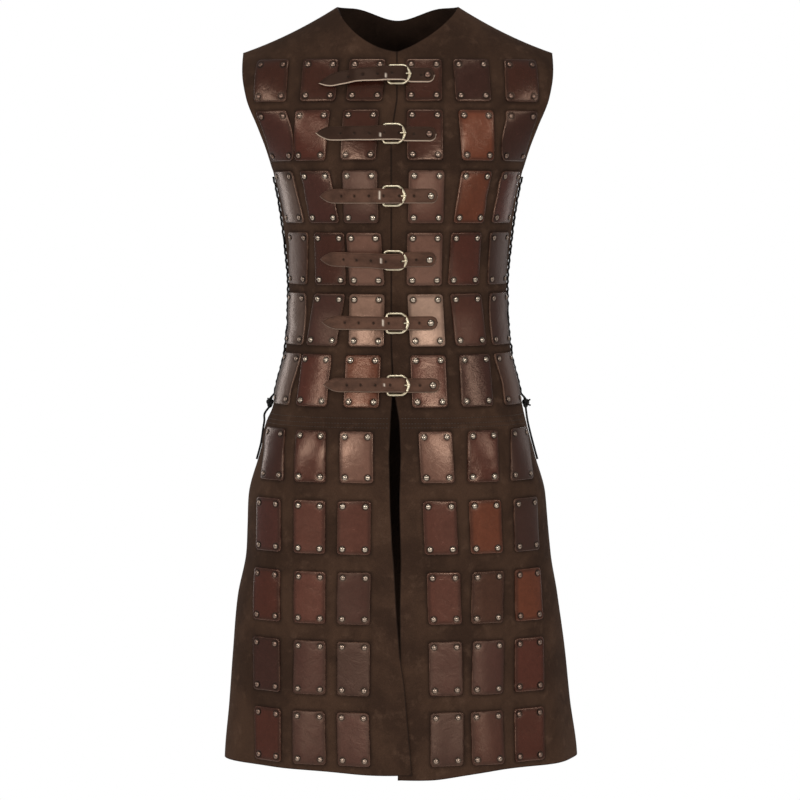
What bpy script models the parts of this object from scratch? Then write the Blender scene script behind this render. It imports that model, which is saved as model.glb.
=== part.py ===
"""A knee-length sleeveless jacket of soft leather covered with riveted plates of hard leather.

It stands hollow, as when it is worn: +Z is up, the front faces -Y, and left and right are
as a viewer of the front sees them. The origin lies midway between the two shoulder seams.
Sizes are in millimetres until a mesh is made, and every surface point is given by a face
(front or back), an arc along the level section from its middle, and a height.
"""
import math
from collections import namedtuple

import bmesh
import bpy
import numpy as np

MM = 0.001
FRONT, BACK = -1, 1
LEFT, RIGHT = -1, 1

# Leather
WALL = 2.0
PLATE = 3.0
PLATE_WIDTH_BODICE = 50.0
PLATE_WIDTH_SKIRT = 47.0
BEVEL = 0.5
SEAM_GAP = 0.3
AIR = 0.4
LACED_GAP = 8.0
SIDE_MARGIN = 10.0

# Level sections of the filled jacket: half width at the side or armhole, shift to the right,
# depths before and behind the middle plane, and roundness of the front and back curves
Section = namedtuple("Section", "height half_width lean front back front_round back_round")
SECTIONS = (
    Section(40, 221, 0, 66, 64, 2.3, 2.4),
    Section(-34, 218, 0, 90, 92, 2.3, 2.4),
    Section(-62, 217, 0, 100, 106, 2.25, 2.4),
    Section(-97, 211, 0, 112, 117, 2.15, 2.4),
    Section(-138, 195, 0, 124, 124, 2.05, 2.4),
    Section(-168, 184, 0, 131, 127, 2.0, 2.4),
    Section(-198, 176, 0, 136, 126, 1.95, 2.35),
    Section(-240, 167, 0, 138, 120, 1.9, 2.3),
    Section(-300, 159, 0, 130, 110, 1.85, 2.25),
    Section(-360, 154, 0, 112, 99, 1.85, 2.2),
    Section(-400, 155, 0, 103, 96, 1.9, 2.2),
    Section(-450, 159, 0, 106, 98, 1.95, 2.2),
    Section(-500, 171, 0, 113, 108, 2.0, 2.2),
    Section(-543, 180, 0, 119, 121, 2.1, 2.2),
    Section(-600, 196, -1, 124, 137, 2.3, 2.2),
    Section(-655, 211, -1, 124, 143, 2.3, 2.2),
    Section(-700, 214, 0, 122, 145, 2.2, 2.2),
    Section(-740, 217, 1, 120, 146, 2.15, 2.15),
    Section(-800, 228, 0, 119, 149, 2.05, 2.1),
    Section(-880, 237, 2, 123, 155, 1.95, 2.0),
    Section(-950, 243, 3, 129, 162, 1.9, 2.0),
    Section(-1042, 252, 5, 137, 170, 1.9, 2.0),
)
SECTION_STEPS = 240

# Neck, shoulders and armholes
NECK_HALF_WIDTH = 85.0
SHOULDER_TOP = 33.0
SHOULDER_SLOPE = 0.634
SHOULDER_CURVE = 0.00111
FRONT_NECK_HEIGHT = -34.0
FRONT_NECK_CURVE = 0.7
FRONT_NECK_STRAIGHT = {LEFT: 0.1, RIGHT: 0.45}
BACK_NECK_HEIGHT = 17.6
BACK_NECK_SCOOP = 64.0
ARMHOLE_TOP, ARMHOLE_FOOT = -34.0, -198.0
ARMHOLE_REACH = {FRONT: 62.0, BACK: 58.0}
SHOULDER_RUN = 133.0
CREST_NECK, CREST_TIP = 85.0, 28.0
CREST_FOOT = -100.0

# Seams
ARMPIT_LINE = -191.0
WAIST = -543.0
HEM = -1031.0
HEM_DROOP = {LEFT: 4.0, RIGHT: 11.0}
HEM_DROOP_FLAT, HEM_DROOP_REACH = 40.0, 115.0
SKIRT_WAVE = 3.0
WAVES_FROM = -700.0
WAVES = {(FRONT, LEFT): 5, (FRONT, RIGHT): 6, (BACK, LEFT): 6, (BACK, RIGHT): 5}

# Rows of plates on the front: top, bottom, and the arcs of the six plates' middles there
PlateRow = namedtuple("PlateRow", "top bottom above below")
FRONT_ROWS = (
    PlateRow(-45, -103, (-177, -106, -41, 36, 101, 173), (-181, -111, -46, 36, 105, 176)),
    PlateRow(-115, -184, (-180, -118, -50, 37, 108, 176), (-187, -127, -55, 38, 115, 186)),
    PlateRow(-198, -270, (-190, -122, -53, 40, 115, 187), (-170, -108, -51, 39, 104, 171)),
    PlateRow(-283, -356, (-163, -101, -48, 38, 101, 169), (-165, -98, -43, 37, 96, 163)),
    PlateRow(-368, -441, (-169, -99, -43, 38, 99, 167), (-178, -112, -44, 42, 107, 177)),
    PlateRow(-453, -525, (-185, -119, -48, 42, 112, 182), (-190, -126, -51, 45, 115, 187)),
    PlateRow(-558, -629, (-192, -124, -57, 52, 122, 194), (-187, -123, -56, 57, 122, 187)),
    PlateRow(-654, -729, (-191, -123, -59, 59, 124, 191), (-194, -126, -62, 60, 125, 191)),
    PlateRow(-754, -827, (-195, -125, -61, 63, 127, 191), (-193, -125, -62, 66, 126, 193)),
    PlateRow(-851, -926, (-195, -126, -63, 65, 127, 191), (-196, -128, -65, 65, 124, 190)),
    PlateRow(-949, -1023, (-195, -129, -66, 66, 123, 189), (-196, -130, -66, 64, 123, 188)),
)
BODICE_ROWS = FRONT_ROWS[:6]
SKIRT_ROWS = FRONT_ROWS[6:]
BACK_MIDDLES_BODICE = (33.0, 98.0, 163.0)
BACK_MIDDLES_SKIRT = (33.0, 98.0, 165.0)

# Front edges of the left and right halves, which meet, open as a slit and then overlap
FrontEdge = namedtuple("FrontEdge", "height left right")
FRONT_EDGES = (
    FrontEdge(40, -1.2, -0.8),
    FrontEdge(-100, -1.2, -0.8),
    FrontEdge(-150, -9.0, -8.6),
    FrontEdge(-440, -9.0, -8.6),
    FrontEdge(-500, -7.0, -5.5),
    FrontEdge(-543, -10.0, 2.0),
    FrontEdge(-590, -11.0, 5.0),
    FrontEdge(-650, -9.6, 3.4),
    FrontEdge(-720, -8.2, 3.2),
    FrontEdge(-790, -3.0, 3.2),
    FrontEdge(-832, -0.7, 2.8),
    FrontEdge(-870, 1.0, 2.0),
    FrontEdge(-915, 7.0, -1.0),
    FrontEdge(-960, 10.0, -3.0),
    FrontEdge(-1042, 15.5, -5.0),
)
OVERLAP_FROM, OVERLAP_FULL = -815.0, -862.0
OVERLAP_LIFT = 1.45
OVERLAP_FLAT, OVERLAP_FADE = 22.0, 40.0

# Straps and buckles: middle height, arc of the buckle, ends of the strap, and how far the
# plates' flat faces stand out of the hollow of the waist there
Closure = namedtuple("Closure", "height buckle strap_end tip lift")
CLOSURES = (
    Closure(-68.5, 7.0, 51.0, -108.0, 0.0),
    Closure(-149, 0.0, 53.0, -112.0, -0.8),
    Closure(-233, 0.0, 55.0, -112.0, -0.9),
    Closure(-319, 2.0, 53.0, -112.0, 0.0),
    Closure(-408.5, 4.5, 54.0, -105.0, 4.8),
    Closure(-495, 5.5, 58.0, -104.0, 0.5),
)
STRAP_WIDTH = 20.0
STRAP_THICKNESS = 2.3
CHAPE_WIDTH = 16.0
CHAPE_THICKNESS = 1.4
CHAPE_LENGTH = 41.0
WIRE = 3.0
PRONG = 2.0
FRAME_LENGTH = 29.0
FRAME_HALF_HEIGHT = 13.0
FRAME_CORNER = 3.0
BOW_SHARE = 0.36
GRIP_GAP = 0.35
BAR_AT = -19.5
BAR_OUT = 6.7
BOW_OUT = 7.7
STRAP_OVER_BAR = 12.0
SLOT_HALF_WIDTH = 2.6

# Side laces
LACE = 3.0
LACE_TOP, LACE_FOOT = -207.0, -511.0
LACE_TURNS = 15
LACE_INSET = 5.0
LACE_CLEARANCE = 1.5
LACE_STEP_HALF = 1.6
KNOT_HEIGHT = -526.0
KNOT_HALF = (5.0, 5.0, 6.5)
KNOT_GAP = 0.35
KNOT_OFF_SIDE = 0.4
LACE_END_FOOT = -606.0
LACE_END_OFF_SKIRT, LACE_END_FLARE = 0.6, 0.9
LACE_END_BULGE = {LEFT: 4.5, RIGHT: 1.6}

SOFT_BROWN = ("soft_leather", (0.045, 0.026, 0.017), 0.85, 0.0)
STRAP_BROWN = ("strap_leather", (0.07, 0.035, 0.02), 0.5, 0.0)
BRASS = ("brass", (0.55, 0.38, 0.17), 0.35, 1.0)
BLACK_CORD = ("lace", (0.008, 0.008, 0.009), 0.7, 0.0)


def ease(t):
    """A smooth step from 0 to 1."""
    t = min(1.0, max(0.0, t))
    return t * t * (3 - 2 * t)


def section_value(height, name):
    """One column of SECTIONS at a height, along a smooth curve through its rows."""
    heights = [row.height for row in SECTIONS]
    values = [getattr(row, name) for row in SECTIONS]
    if height >= heights[0]:
        return values[0]
    if height <= heights[-1]:
        return values[-1]
    at = next(i for i in range(len(heights) - 1) if heights[i + 1] <= height)
    span = heights[at] - heights[at + 1]

    def slope(i):
        if i in (0, len(heights) - 1):
            return 0.0
        over = (values[i] - values[i - 1]) / (heights[i - 1] - heights[i])
        under = (values[i + 1] - values[i]) / (heights[i] - heights[i + 1])
        return 2 * over * under / (over + under) if over * under > 0 else 0.0

    t = (heights[at] - height) / span
    return (
        (2 * t**3 - 3 * t**2 + 1) * values[at]
        + (t**3 - 2 * t**2 + t) * slope(at) * span
        + (3 * t**2 - 2 * t**3) * values[at + 1]
        + (t**3 - t**2) * slope(at + 1) * span
    )


def shoulder_height(x):
    """Height of the shoulder seam over x, carried on straight inside the neck."""
    out = abs(x) - NECK_HALF_WIDTH
    return SHOULDER_TOP - SHOULDER_SLOPE * out + SHOULDER_CURVE * max(0.0, out) ** 2


def crest(x, height):
    """Share of the section's depth under the rounded shoulder: 0 at the seam, 1 below."""
    share = min(1.0, max(0.0, (abs(x) - NECK_HALF_WIDTH) / SHOULDER_RUN))
    reach = CREST_NECK + (CREST_TIP - CREST_NECK) * share
    t = min(1.0, max(0.0, (shoulder_height(x) - height) / reach))
    return math.sqrt(1 - (1 - t) ** 2)


def side_edge(height, face, gap):
    """Distance of a panel's side edge from the middle plane: the armhole, or half a gap."""
    middle = (ARMHOLE_TOP + ARMHOLE_FOOT) / 2
    half = (ARMHOLE_TOP - ARMHOLE_FOOT) / 2
    inside = 1 - ((height - middle) / half) ** 2
    return max(gap / 2, ARMHOLE_REACH[face] * math.sqrt(inside)) if inside > 0 else gap / 2


def section_shape(height, face, gap):
    """Depth, roundness and the full half width of the curve that the side edge cuts."""
    side = "front" if face == FRONT else "back"
    deep = section_value(height, side)
    power = section_value(height, side + "_round")
    edge = section_value(height, "half_width")
    cut = side_edge(height, face, gap)
    return deep, power, edge, edge / (1 - (cut / deep) ** power) ** (1 / power)


rings = {}


def ring(height, face, gap):
    """Half a level section from its middle to the side edge: x, depth and arc."""
    key = (round(height, 4), face, gap)
    if key not in rings:
        deep, power, edge, full = section_shape(height, face, gap)
        turn = np.linspace(0, math.asin((edge / full) ** (power / 2)), SECTION_STEPS)
        x = full * np.sin(turn) ** (2 / power)
        depth = deep * np.cos(turn) ** (2 / power)
        if height > CREST_FOOT:
            depth = depth * np.array([crest(v, height) for v in x])
        steps = np.hypot(np.diff(x), np.diff(depth))
        rings[key] = x, depth, np.concatenate([[0.0], np.cumsum(steps)])
    return rings[key]


def skin(face, arc, height, gap=LACED_GAP):
    """The point of the outer surface at an arc and a height."""
    x, depth, arcs = ring(height, face, gap)
    out = abs(arc)
    across = math.copysign(np.interp(out, arcs, x), arc) + section_value(height, "lean")
    return np.array([across, face * np.interp(out, arcs, depth), height])


def outward(face, arc, height, gap=LACED_GAP):
    """The unit normal of the outer surface."""
    end = ring(height, face, gap)[2][-1]
    right = skin(face, min(end, arc + 1.5), height, gap)
    left = skin(face, max(-end, arc - 1.5), height, gap)
    up = skin(face, arc, height + 1.5, gap) - skin(face, arc, height - 1.5, gap)
    normal = np.cross(right - left, up) * -face
    return normal / np.linalg.norm(normal)


def over_skin(face, arc, height, out, gap=LACED_GAP):
    return skin(face, arc, height, gap) + outward(face, arc, height, gap) * out


def depth_at(face, x, height):
    """Depth of the shoulder region over a point of the front view."""
    deep, power, _, full = section_shape(height, face, LACED_GAP)
    return deep * max(0.0, 1 - (abs(x) / full) ** power) ** (1 / power) * crest(x, height)


def neck_height(face, x):
    """Height of the neckline over x."""
    share = min(1.0, abs(x) / NECK_HALF_WIDTH)
    if face == FRONT:
        straight = FRONT_NECK_STRAIGHT[RIGHT if x > 0 else LEFT]
        curved = 1 - (1 - share**2) ** FRONT_NECK_CURVE
        rise = SHOULDER_TOP - FRONT_NECK_HEIGHT
        return FRONT_NECK_HEIGHT + rise * (straight * share + (1 - straight) * curved)
    rise = SHOULDER_TOP - BACK_NECK_HEIGHT
    return BACK_NECK_HEIGHT + rise * ease(abs(x) / BACK_NECK_SCOOP)


def front_edge(side, height):
    """Arc of a front half's edge, from the middle of the body."""
    heights = [row.height for row in FRONT_EDGES][::-1]
    arcs = [row.left if side == LEFT else row.right for row in FRONT_EDGES][::-1]
    return np.interp(height, heights, arcs)


def plate_middle(face, side, number, height):
    """Arc of the middle of a side's plate number 0 to 2, counted from the body's middle."""
    if face == BACK:
        middles = BACK_MIDDLES_BODICE if height > WAIST else BACK_MIDDLES_SKIRT
        return middles[number]
    column = 3 + number if side == RIGHT else 2 - number
    heights, arcs = [], []
    for row in FRONT_ROWS:
        heights += [-row.top, -row.bottom]
        arcs += [abs(row.above[column]), abs(row.below[column])]
    return np.interp(-height, heights, arcs)


def crosswise_arcs(face, side, height, gap):
    """Arcs of a half panel's grid lines at a height, from the inner edge to the side edge."""
    width = PLATE_WIDTH_BODICE if height > WAIST else PLATE_WIDTH_SKIRT
    end = ring(height, face, gap)[2][-1]
    arcs = []
    for number in range(3):
        middle = plate_middle(face, side, number, height)
        middle = min(middle, end - SIDE_MARGIN - width / 2)
        half = width / 2
        arcs += [middle - half, middle - half + BEVEL, middle]
        arcs += [middle + half - BEVEL, middle + half]
    arcs += [(arcs[-1] + end) / 2, end]
    if face == FRONT:
        edge = side * front_edge(side, height)
        arcs = [edge, edge + (arcs[0] - edge) * EDGE_LINE] + arcs
    return [side * arc for arc in arcs]


def overlap(side, arc, height):
    """How far the lapped front edges of the skirt lie out of or into the body."""
    down = ease((OVERLAP_FROM - height) / (OVERLAP_FROM - OVERLAP_FULL))
    away = side * (arc - front_edge(side, height))
    near = 1 - ease((away - OVERLAP_FLAT) / OVERLAP_FADE)
    return -side * OVERLAP_LIFT * down * near


def wave(face, side, arc, height, gap):
    """Soft upright folds of the skirt, which fade at its seams."""
    down = ease((WAVES_FROM - height) / (WAVES_FROM - HEM))
    share = min(1.0, abs(arc) / ring(height, face, gap)[2][-1])
    return SKIRT_WAVE * down * math.sin(math.pi * WAVES[face, side] * share)


def panel_material(kind):
    name, colour, roughness, metallic = kind
    material = bpy.data.materials.get(name)
    if material is None:
        material = bpy.data.materials.new(name)
        material.use_nodes = True
        shader = material.node_tree.nodes["Principled BSDF"]
        shader.inputs["Base Color"].default_value = (*colour, 1)
        shader.inputs["Roughness"].default_value = roughness
        shader.inputs["Metallic"].default_value = metallic
    return material


def add_solid(name, points, faces, kind):
    """A closed body from points in millimetres, with its faces turned out."""
    shape = bmesh.new()
    corners = [shape.verts.new([v * MM for v in point]) for point in points]
    for face in faces:
        shape.faces.new([corners[i] for i in face])
    bmesh.ops.recalc_face_normals(shape, faces=shape.faces)
    mesh = bpy.data.meshes.new(name)
    shape.to_mesh(mesh)
    shape.free()
    mesh.shade_smooth()
    mesh.set_sharp_from_angle(angle=math.radians(35))
    mesh.materials.append(panel_material(kind))
    solid = bpy.data.objects.new(name, mesh)
    bpy.context.collection.objects.link(solid)
    return solid


def walled_panel(name, outer, inner, rows, columns):
    """A wall between a fine outer grid and an inner grid on some of its rows and columns."""
    points, faces, index = [], [], {}
    for k, line in enumerate(outer):
        for j, point in enumerate(line):
            index["out", k, j] = len(points)
            points.append(point)
    for k in rows:
        for j in columns:
            index["in", k, j] = len(points)
            points.append(inner[k][j])
    last_row, last_column = len(outer) - 1, len(outer[0]) - 1
    for k in range(last_row):
        for j in range(last_column):
            corners = (k, j), (k, j + 1), (k + 1, j + 1), (k + 1, j)
            faces.append([index["out", a, b] for a, b in corners])
    for k, k2 in zip(rows, rows[1:]):
        for j, j2 in zip(columns, columns[1:]):
            corners = (k, j), (k, j2), (k2, j2), (k2, j)
            faces.append([index["in", a, b] for a, b in corners])
    for k in (0, last_row):
        for j, j2 in zip(columns, columns[1:]):
            fine = [index["out", k, c] for c in range(j, j2 + 1)]
            faces.append([index["in", k, j], *fine, index["in", k, j2]])
    for j in (0, last_column):
        for k, k2 in zip(rows, rows[1:]):
            fine = [index["out", c, j] for c in range(k, k2 + 1)]
            faces.append([index["in", k, j], *fine, index["in", k2, j]])
    return add_solid(name, points, faces, SOFT_BROWN)


def row_lines(rows, extra=()):
    """Heights of a panel's level grid lines under the shoulders: (height, raised, kept inside)."""
    lines = []
    for row in rows:
        lines += [(row.top, False, True), (row.top - BEVEL, True, False)]
        lines += [(row.bottom + BEVEL, True, False), (row.bottom, False, True)]
    lines += [(height, False, True) for height in extra]
    return sorted(lines, key=lambda line: -line[0])


# Where a half panel's grid lines lie on a plate, and which of them the inner grid keeps
RAISED_IN_PLATE = (False, True, True, True, False)
KEPT_IN_PLATE = (False, False, True, False, True)
EDGE_LINE = 0.45


def half_flags(face):
    edge_lines = 2 if face == FRONT else 0
    raised = [False] * edge_lines + list(RAISED_IN_PLATE) * 3 + [False, False]
    kept = [True] * edge_lines + list(KEPT_IN_PLATE) * 3 + [True, True]
    return raised, kept


def level_row(face, sides, height, raised, gap, hem=False):
    """Outer and inner points of a panel at one height."""
    outer, inner = [], []
    for side in sides:
        arcs = crosswise_arcs(face, side, height, gap)
        flags = half_flags(face)[0]
        half_outer, half_inner = [], []
        for arc, on_plate in zip(arcs, flags):
            level = height
            if hem and face == FRONT:
                near = 1 - ease((abs(arc) - HEM_DROOP_FLAT) / HEM_DROOP_REACH)
                level = height - HEM_DROOP[side] * near
            normal = outward(face, arc, level, gap)
            if height in (WAIST - SEAM_GAP / 2, WAIST + SEAM_GAP / 2):
                normal = normal * (1, 1, 0)
            if abs(arc) == abs(arcs[-1]) and height < ARMHOLE_FOOT:
                normal = normal * (1, 0, 1)
            normal = normal / np.linalg.norm(normal)
            base = skin(face, arc, level, gap)
            if height < WAIST:
                base = base + normal * wave(face, side, arc, level, gap)
                if face == FRONT:
                    base = base + normal * overlap(side, arc, level)
            half_outer.append(base + normal * (PLATE if raised and on_plate else 0))
            half_inner.append(base - normal * WALL)
        if len(sides) == 2 and side == LEFT:
            half_outer.reverse()
            half_inner.reverse()
        outer += half_outer
        inner += half_inner
    return outer, inner


YOKE_SHARES = (0.3, 0.55, 0.75, 0.88, 0.955, 0.99, 1.0)
YOKE_KEPT = (False, True, False, True, False, True, True)
NECK_LINE = {FRONT: 7, BACK: 5}


def shoulder_normal(face, x, height, at_seam):
    """The unit normal of the shoulder region, upright to the seam where it is sewn."""
    step = 0.8
    if at_seam:
        slope = shoulder_height(abs(x) + step) - shoulder_height(abs(x) - step)
        normal = np.array([-math.copysign(slope, x), 0, 2 * step])
        return normal / np.linalg.norm(normal)
    low, high = height - step, height
    across = depth_at(face, x + step, height) - depth_at(face, x - step, height)
    upright = (depth_at(face, x, high) - depth_at(face, x, low)) / (high - low)
    normal = np.array([-across / (2 * step), face, -upright])
    return normal / np.linalg.norm(normal)


def yoke_rows(face, sides, foot_row):
    """Rows from the first plates' top line up to the neckline and the shoulder seams."""
    rows = []
    for share in YOKE_SHARES:
        outer, inner = [], []
        for side in sides:
            arcs = crosswise_arcs(face, side, BODICE_ROWS[0].top, LACED_GAP)
            neck = NECK_LINE[face]
            half_outer, half_inner = [], []
            for j, arc in enumerate(arcs):
                foot = foot_row[side][j]
                if j <= neck:
                    start = abs(arcs[0]) if face == FRONT else 0
                    turn = (abs(arc) - start) / (abs(arcs[neck]) - start)
                    first = foot_row[side][0][0] if face == FRONT else 0
                    x = first + (side * NECK_HALF_WIDTH - first) * math.sin(turn * math.pi / 2)
                    top = neck_height(face, x)
                    if j == neck:
                        x, top = side * NECK_HALF_WIDTH, SHOULDER_TOP
                else:
                    way = (abs(arc) - abs(arcs[neck])) / (abs(arcs[-1]) - abs(arcs[neck]))
                    tip = section_value(ARMHOLE_TOP, "half_width")
                    x = side * (NECK_HALF_WIDTH + (tip - NECK_HALF_WIDTH) * way)
                    top = shoulder_height(x)
                x = foot[0] + (x - foot[0]) * share
                height = foot[2] + (top - foot[2]) * share
                at_seam = share == 1.0 and j >= neck
                depth = SEAM_GAP / 2 if at_seam else depth_at(face, x, height)
                depth = max(SEAM_GAP / 2, depth)
                base = np.array([x, face * depth, height])
                normal = shoulder_normal(face, x, height, at_seam)
                half_outer.append(base)
                wall = base - normal * WALL
                wall[1] = face * max(SEAM_GAP / 2, face * wall[1])
                half_inner.append(wall)
            if len(sides) == 2 and side == LEFT:
                half_outer.reverse()
                half_inner.reverse()
            outer += half_outer
            inner += half_inner
        rows.append((outer, inner))
    return rows


def kept_columns(face, sides):
    kept = half_flags(face)[1]
    if len(sides) == 2:
        kept = kept[::-1] + kept
    kept[0] = kept[-1] = True
    return [j for j, keep in enumerate(kept) if keep]


def make_bodice(name, face, sides):
    """A panel of the bodice, from the neckline and shoulder seam down to the waist."""
    lines = row_lines(BODICE_ROWS, (ARMPIT_LINE, WAIST + SEAM_GAP / 2))
    first = {}
    for side in sides:
        arcs = crosswise_arcs(face, side, BODICE_ROWS[0].top, LACED_GAP)
        first[side] = [skin(face, arc, BODICE_ROWS[0].top) for arc in arcs]
    outer, inner, rows = [], [], []
    for keep, (line, wall) in zip(YOKE_KEPT[::-1], yoke_rows(face, sides, first)[::-1]):
        if keep:
            rows.append(len(outer))
        outer.append(line)
        inner.append(wall)
    for height, raised, keep in lines:
        if keep:
            rows.append(len(outer))
        line, wall = level_row(face, sides, height, raised, LACED_GAP)
        outer.append(line)
        inner.append(wall)
    return walled_panel(name, outer, inner, rows, kept_columns(face, sides))


def make_skirt(name, face, sides):
    """A panel of the skirt, from the waist down to the hem."""
    lines = row_lines(SKIRT_ROWS, (WAIST - SEAM_GAP / 2, HEM))
    outer, inner, rows = [], [], []
    for height, raised, keep in lines:
        if keep:
            rows.append(len(outer))
        line, wall = level_row(face, sides, height, raised, SEAM_GAP, hem=height == HEM)
        outer.append(line)
        inner.append(wall)
    return walled_panel(name, outer, inner, rows, kept_columns(face, sides))


def band(name, middle, path, thickness, open_cells, kind):
    """A flat strip over the front: path holds (arc, distance out, half width) of its core.

    open_cells are the steps of the path whose middle third is cut out as a slot.
    """
    count = len(path)
    core = np.array([(arc, out) for arc, out, _ in path])
    along = np.gradient(core, axis=0)
    along /= np.linalg.norm(along, axis=1)[:, None]
    sideways = np.stack([-along[:, 1], along[:, 0]], axis=1) * thickness / 2
    points, index = [], {}
    for i in range(count):
        half = path[i][2]
        slot = min(SLOT_HALF_WIDTH, half * 0.6)
        for c, offset in enumerate((-half, -slot, slot, half)):
            for level, sign in enumerate((-1, 1)):
                arc, out = core[i] + sideways[i] * sign
                index[i, c, level] = len(points)
                points.append(over_skin(FRONT, arc, middle + offset, out))
    faces = []

    def there(i, c):
        return 0 <= i < count - 1 and 0 <= c < 3 and not (c == 1 and i in open_cells)

    for i in range(count - 1):
        for c in range(3):
            if not there(i, c):
                continue
            for level in (0, 1):
                corners = (i, c), (i + 1, c), (i + 1, c + 1), (i, c + 1)
                faces.append([index[a, b, level] for a, b in corners])
            borders = {
                (i - 1, c): ((i, c), (i, c + 1)),
                (i + 1, c): ((i + 1, c), (i + 1, c + 1)),
                (i, c - 1): ((i, c), (i + 1, c)),
                (i, c + 1): ((i, c + 1), (i + 1, c + 1)),
            }
            for neighbour, (a, b) in borders.items():
                if not there(*neighbour):
                    faces.append([index[*a, 0], index[*b, 0], index[*b, 1], index[*a, 1]])
    return add_solid(name, points, faces, kind)


def rod(name, points, diameter, kind, closed=False, resolution=1):
    """A round bar or cord along points in millimetres."""
    curve = bpy.data.curves.new(name, "CURVE")
    curve.dimensions = "3D"
    curve.bevel_depth = diameter / 2 * MM
    curve.bevel_resolution = resolution
    curve.use_fill_caps = not closed
    line = curve.splines.new("POLY")
    line.points.add(len(points) - 1)
    for place, point in zip(line.points, points):
        place.co = (*[v * MM for v in point], 1)
    line.use_cyclic_u = closed
    line.use_smooth = True
    curve.materials.append(panel_material(kind))
    solid = bpy.data.objects.new(name, curve)
    bpy.context.collection.objects.link(solid)
    return solid


def through(points, count):
    """A smooth curve through a few points, read at even steps."""
    points = np.array(points, float)
    padded = np.vstack([2 * points[0] - points[1], points, 2 * points[-1] - points[-2]])
    result = []
    for t in np.linspace(0, len(points) - 1, count):
        i = min(int(t), len(points) - 2)
        f = t - i
        a, b, c, d = padded[i : i + 4]
        result.append(
            0.5 * (2 * b + (c - a) * f + (2 * a - 5 * b + 4 * c - d) * f**2
                   + (3 * b - a - 3 * c + d) * f**3)
        )
    return result


def make_strap(number, closure):
    """The strap, riveted to the right plate, over the buckle's bar to its pointed end."""
    half = STRAP_WIDTH / 2
    core = STRAP_THICKNESS / 2 + closure.lift
    low = PLATE + AIR + core
    over = STRAP_OVER_BAR + core
    chape = PLATE + 2 * AIR + 2 * CHAPE_THICKNESS + SEAM_GAP + core
    bar = closure.buckle + BAR_AT
    path = [
        (closure.strap_end, low, half * 0.45),
        (closure.strap_end - 3, low, half * 0.85),
        (closure.strap_end - 8, low, half),
        (closure.buckle + 22, low, half),
        (closure.buckle + 9, low, half),
        (closure.buckle + 3, low + 0.2, half),
        (closure.buckle - 6.5, over - 0.4, half),
        (closure.buckle - 10, over, half),
        (bar - 4, over, half),
        (bar - 16, chape + 1.2, half),
        (bar - 26, chape, half),
        (bar - CHAPE_LENGTH - 5, chape, half),
        (bar - CHAPE_LENGTH - 14, low + 0.6, half),
        (closure.tip + 16, low, half * 0.96),
        (closure.tip + 6, low, half * 0.5),
        (closure.tip, low, half * 0.14),
    ]
    band(f"strap_{number}", closure.height, path, STRAP_THICKNESS, {5}, STRAP_BROWN)


def make_chape(number, closure):
    """The folded leather that holds the buckle's bar, with a slot for the prong."""
    half = CHAPE_WIDTH / 2
    bar = closure.buckle + BAR_AT
    fold = WIRE / 2 + GRIP_GAP + CHAPE_THICKNESS / 2
    under = PLATE + AIR + CHAPE_THICKNESS / 2 + closure.lift
    upper = under + CHAPE_THICKNESS + AIR
    level = BAR_OUT + closure.lift
    path = [(bar - CHAPE_LENGTH, upper, half), (bar - 15, upper, half), (bar - 6, level + fold, half)]
    for degrees in (95, 55, 15, -25, -65):
        turn = math.radians(degrees)
        path.append((bar + fold * math.cos(turn), level + fold * math.sin(turn), half))
    path += [(bar - 2, level - fold, half), (bar - 6, under, half), (bar - 22, under, half)]
    slot = set(range(2, 9))
    band(f"chape_{number}", closure.height, path, CHAPE_THICKNESS, slot, STRAP_BROWN)


def make_buckle(number, closure):
    """The D-shaped frame and the prong that turns on its straight bar."""
    bar = closure.buckle + BAR_AT
    bow = bar + FRAME_LENGTH
    corner = FRAME_CORNER
    cut = corner * 0.3
    outline = [(bar, -FRAME_HALF_HEIGHT + corner), (bar, FRAME_HALF_HEIGHT - corner)]
    outline += [(bar + cut, FRAME_HALF_HEIGHT - cut), (bar + corner, FRAME_HALF_HEIGHT)]
    reach = FRAME_LENGTH * BOW_SHARE
    for degrees in range(90, -91, -20):
        turn = math.radians(degrees)
        outline.append((bow - reach + reach * math.cos(turn), FRAME_HALF_HEIGHT * math.sin(turn)))
    outline += [(bar + corner, -FRAME_HALF_HEIGHT), (bar + cut, -FRAME_HALF_HEIGHT + cut)]
    points = []
    for arc, up in outline:
        out = BAR_OUT + (BOW_OUT - BAR_OUT) * (arc - bar) / FRAME_LENGTH + closure.lift
        points.append(over_skin(FRONT, arc, closure.height + up, out))
    rod(f"buckle_frame_{number}", points, WIRE, BRASS, closed=True)

    grip = (WIRE + PRONG) / 2 + GRIP_GAP
    turns = [math.radians(a) for a in (-60, -110, -160, 150, 115)]
    route = [(bar + grip * math.cos(a), BAR_OUT + grip * math.sin(a)) for a in turns]
    rest = BOW_OUT + grip
    route += [(bar + 2, BAR_OUT + grip), (bar + 12, BAR_OUT + grip + 0.2)]
    route += [(bow - 9, rest - 0.9), (bow - 3, rest), (bow + 2.2, rest)]
    middle = closure.height
    points = [over_skin(FRONT, arc, middle, out + closure.lift) for arc, out in route]
    rod(f"buckle_prong_{number}", points, PRONG, BRASS)


def side_point(side, reach, height, out):
    """A point over the laced side: reach is its arc distance in front of the side edge."""
    face = FRONT if reach >= 0 else BACK
    end = ring(height, face, LACED_GAP)[2][-1]
    return over_skin(face, side * (end - abs(reach)), height, out)


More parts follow.
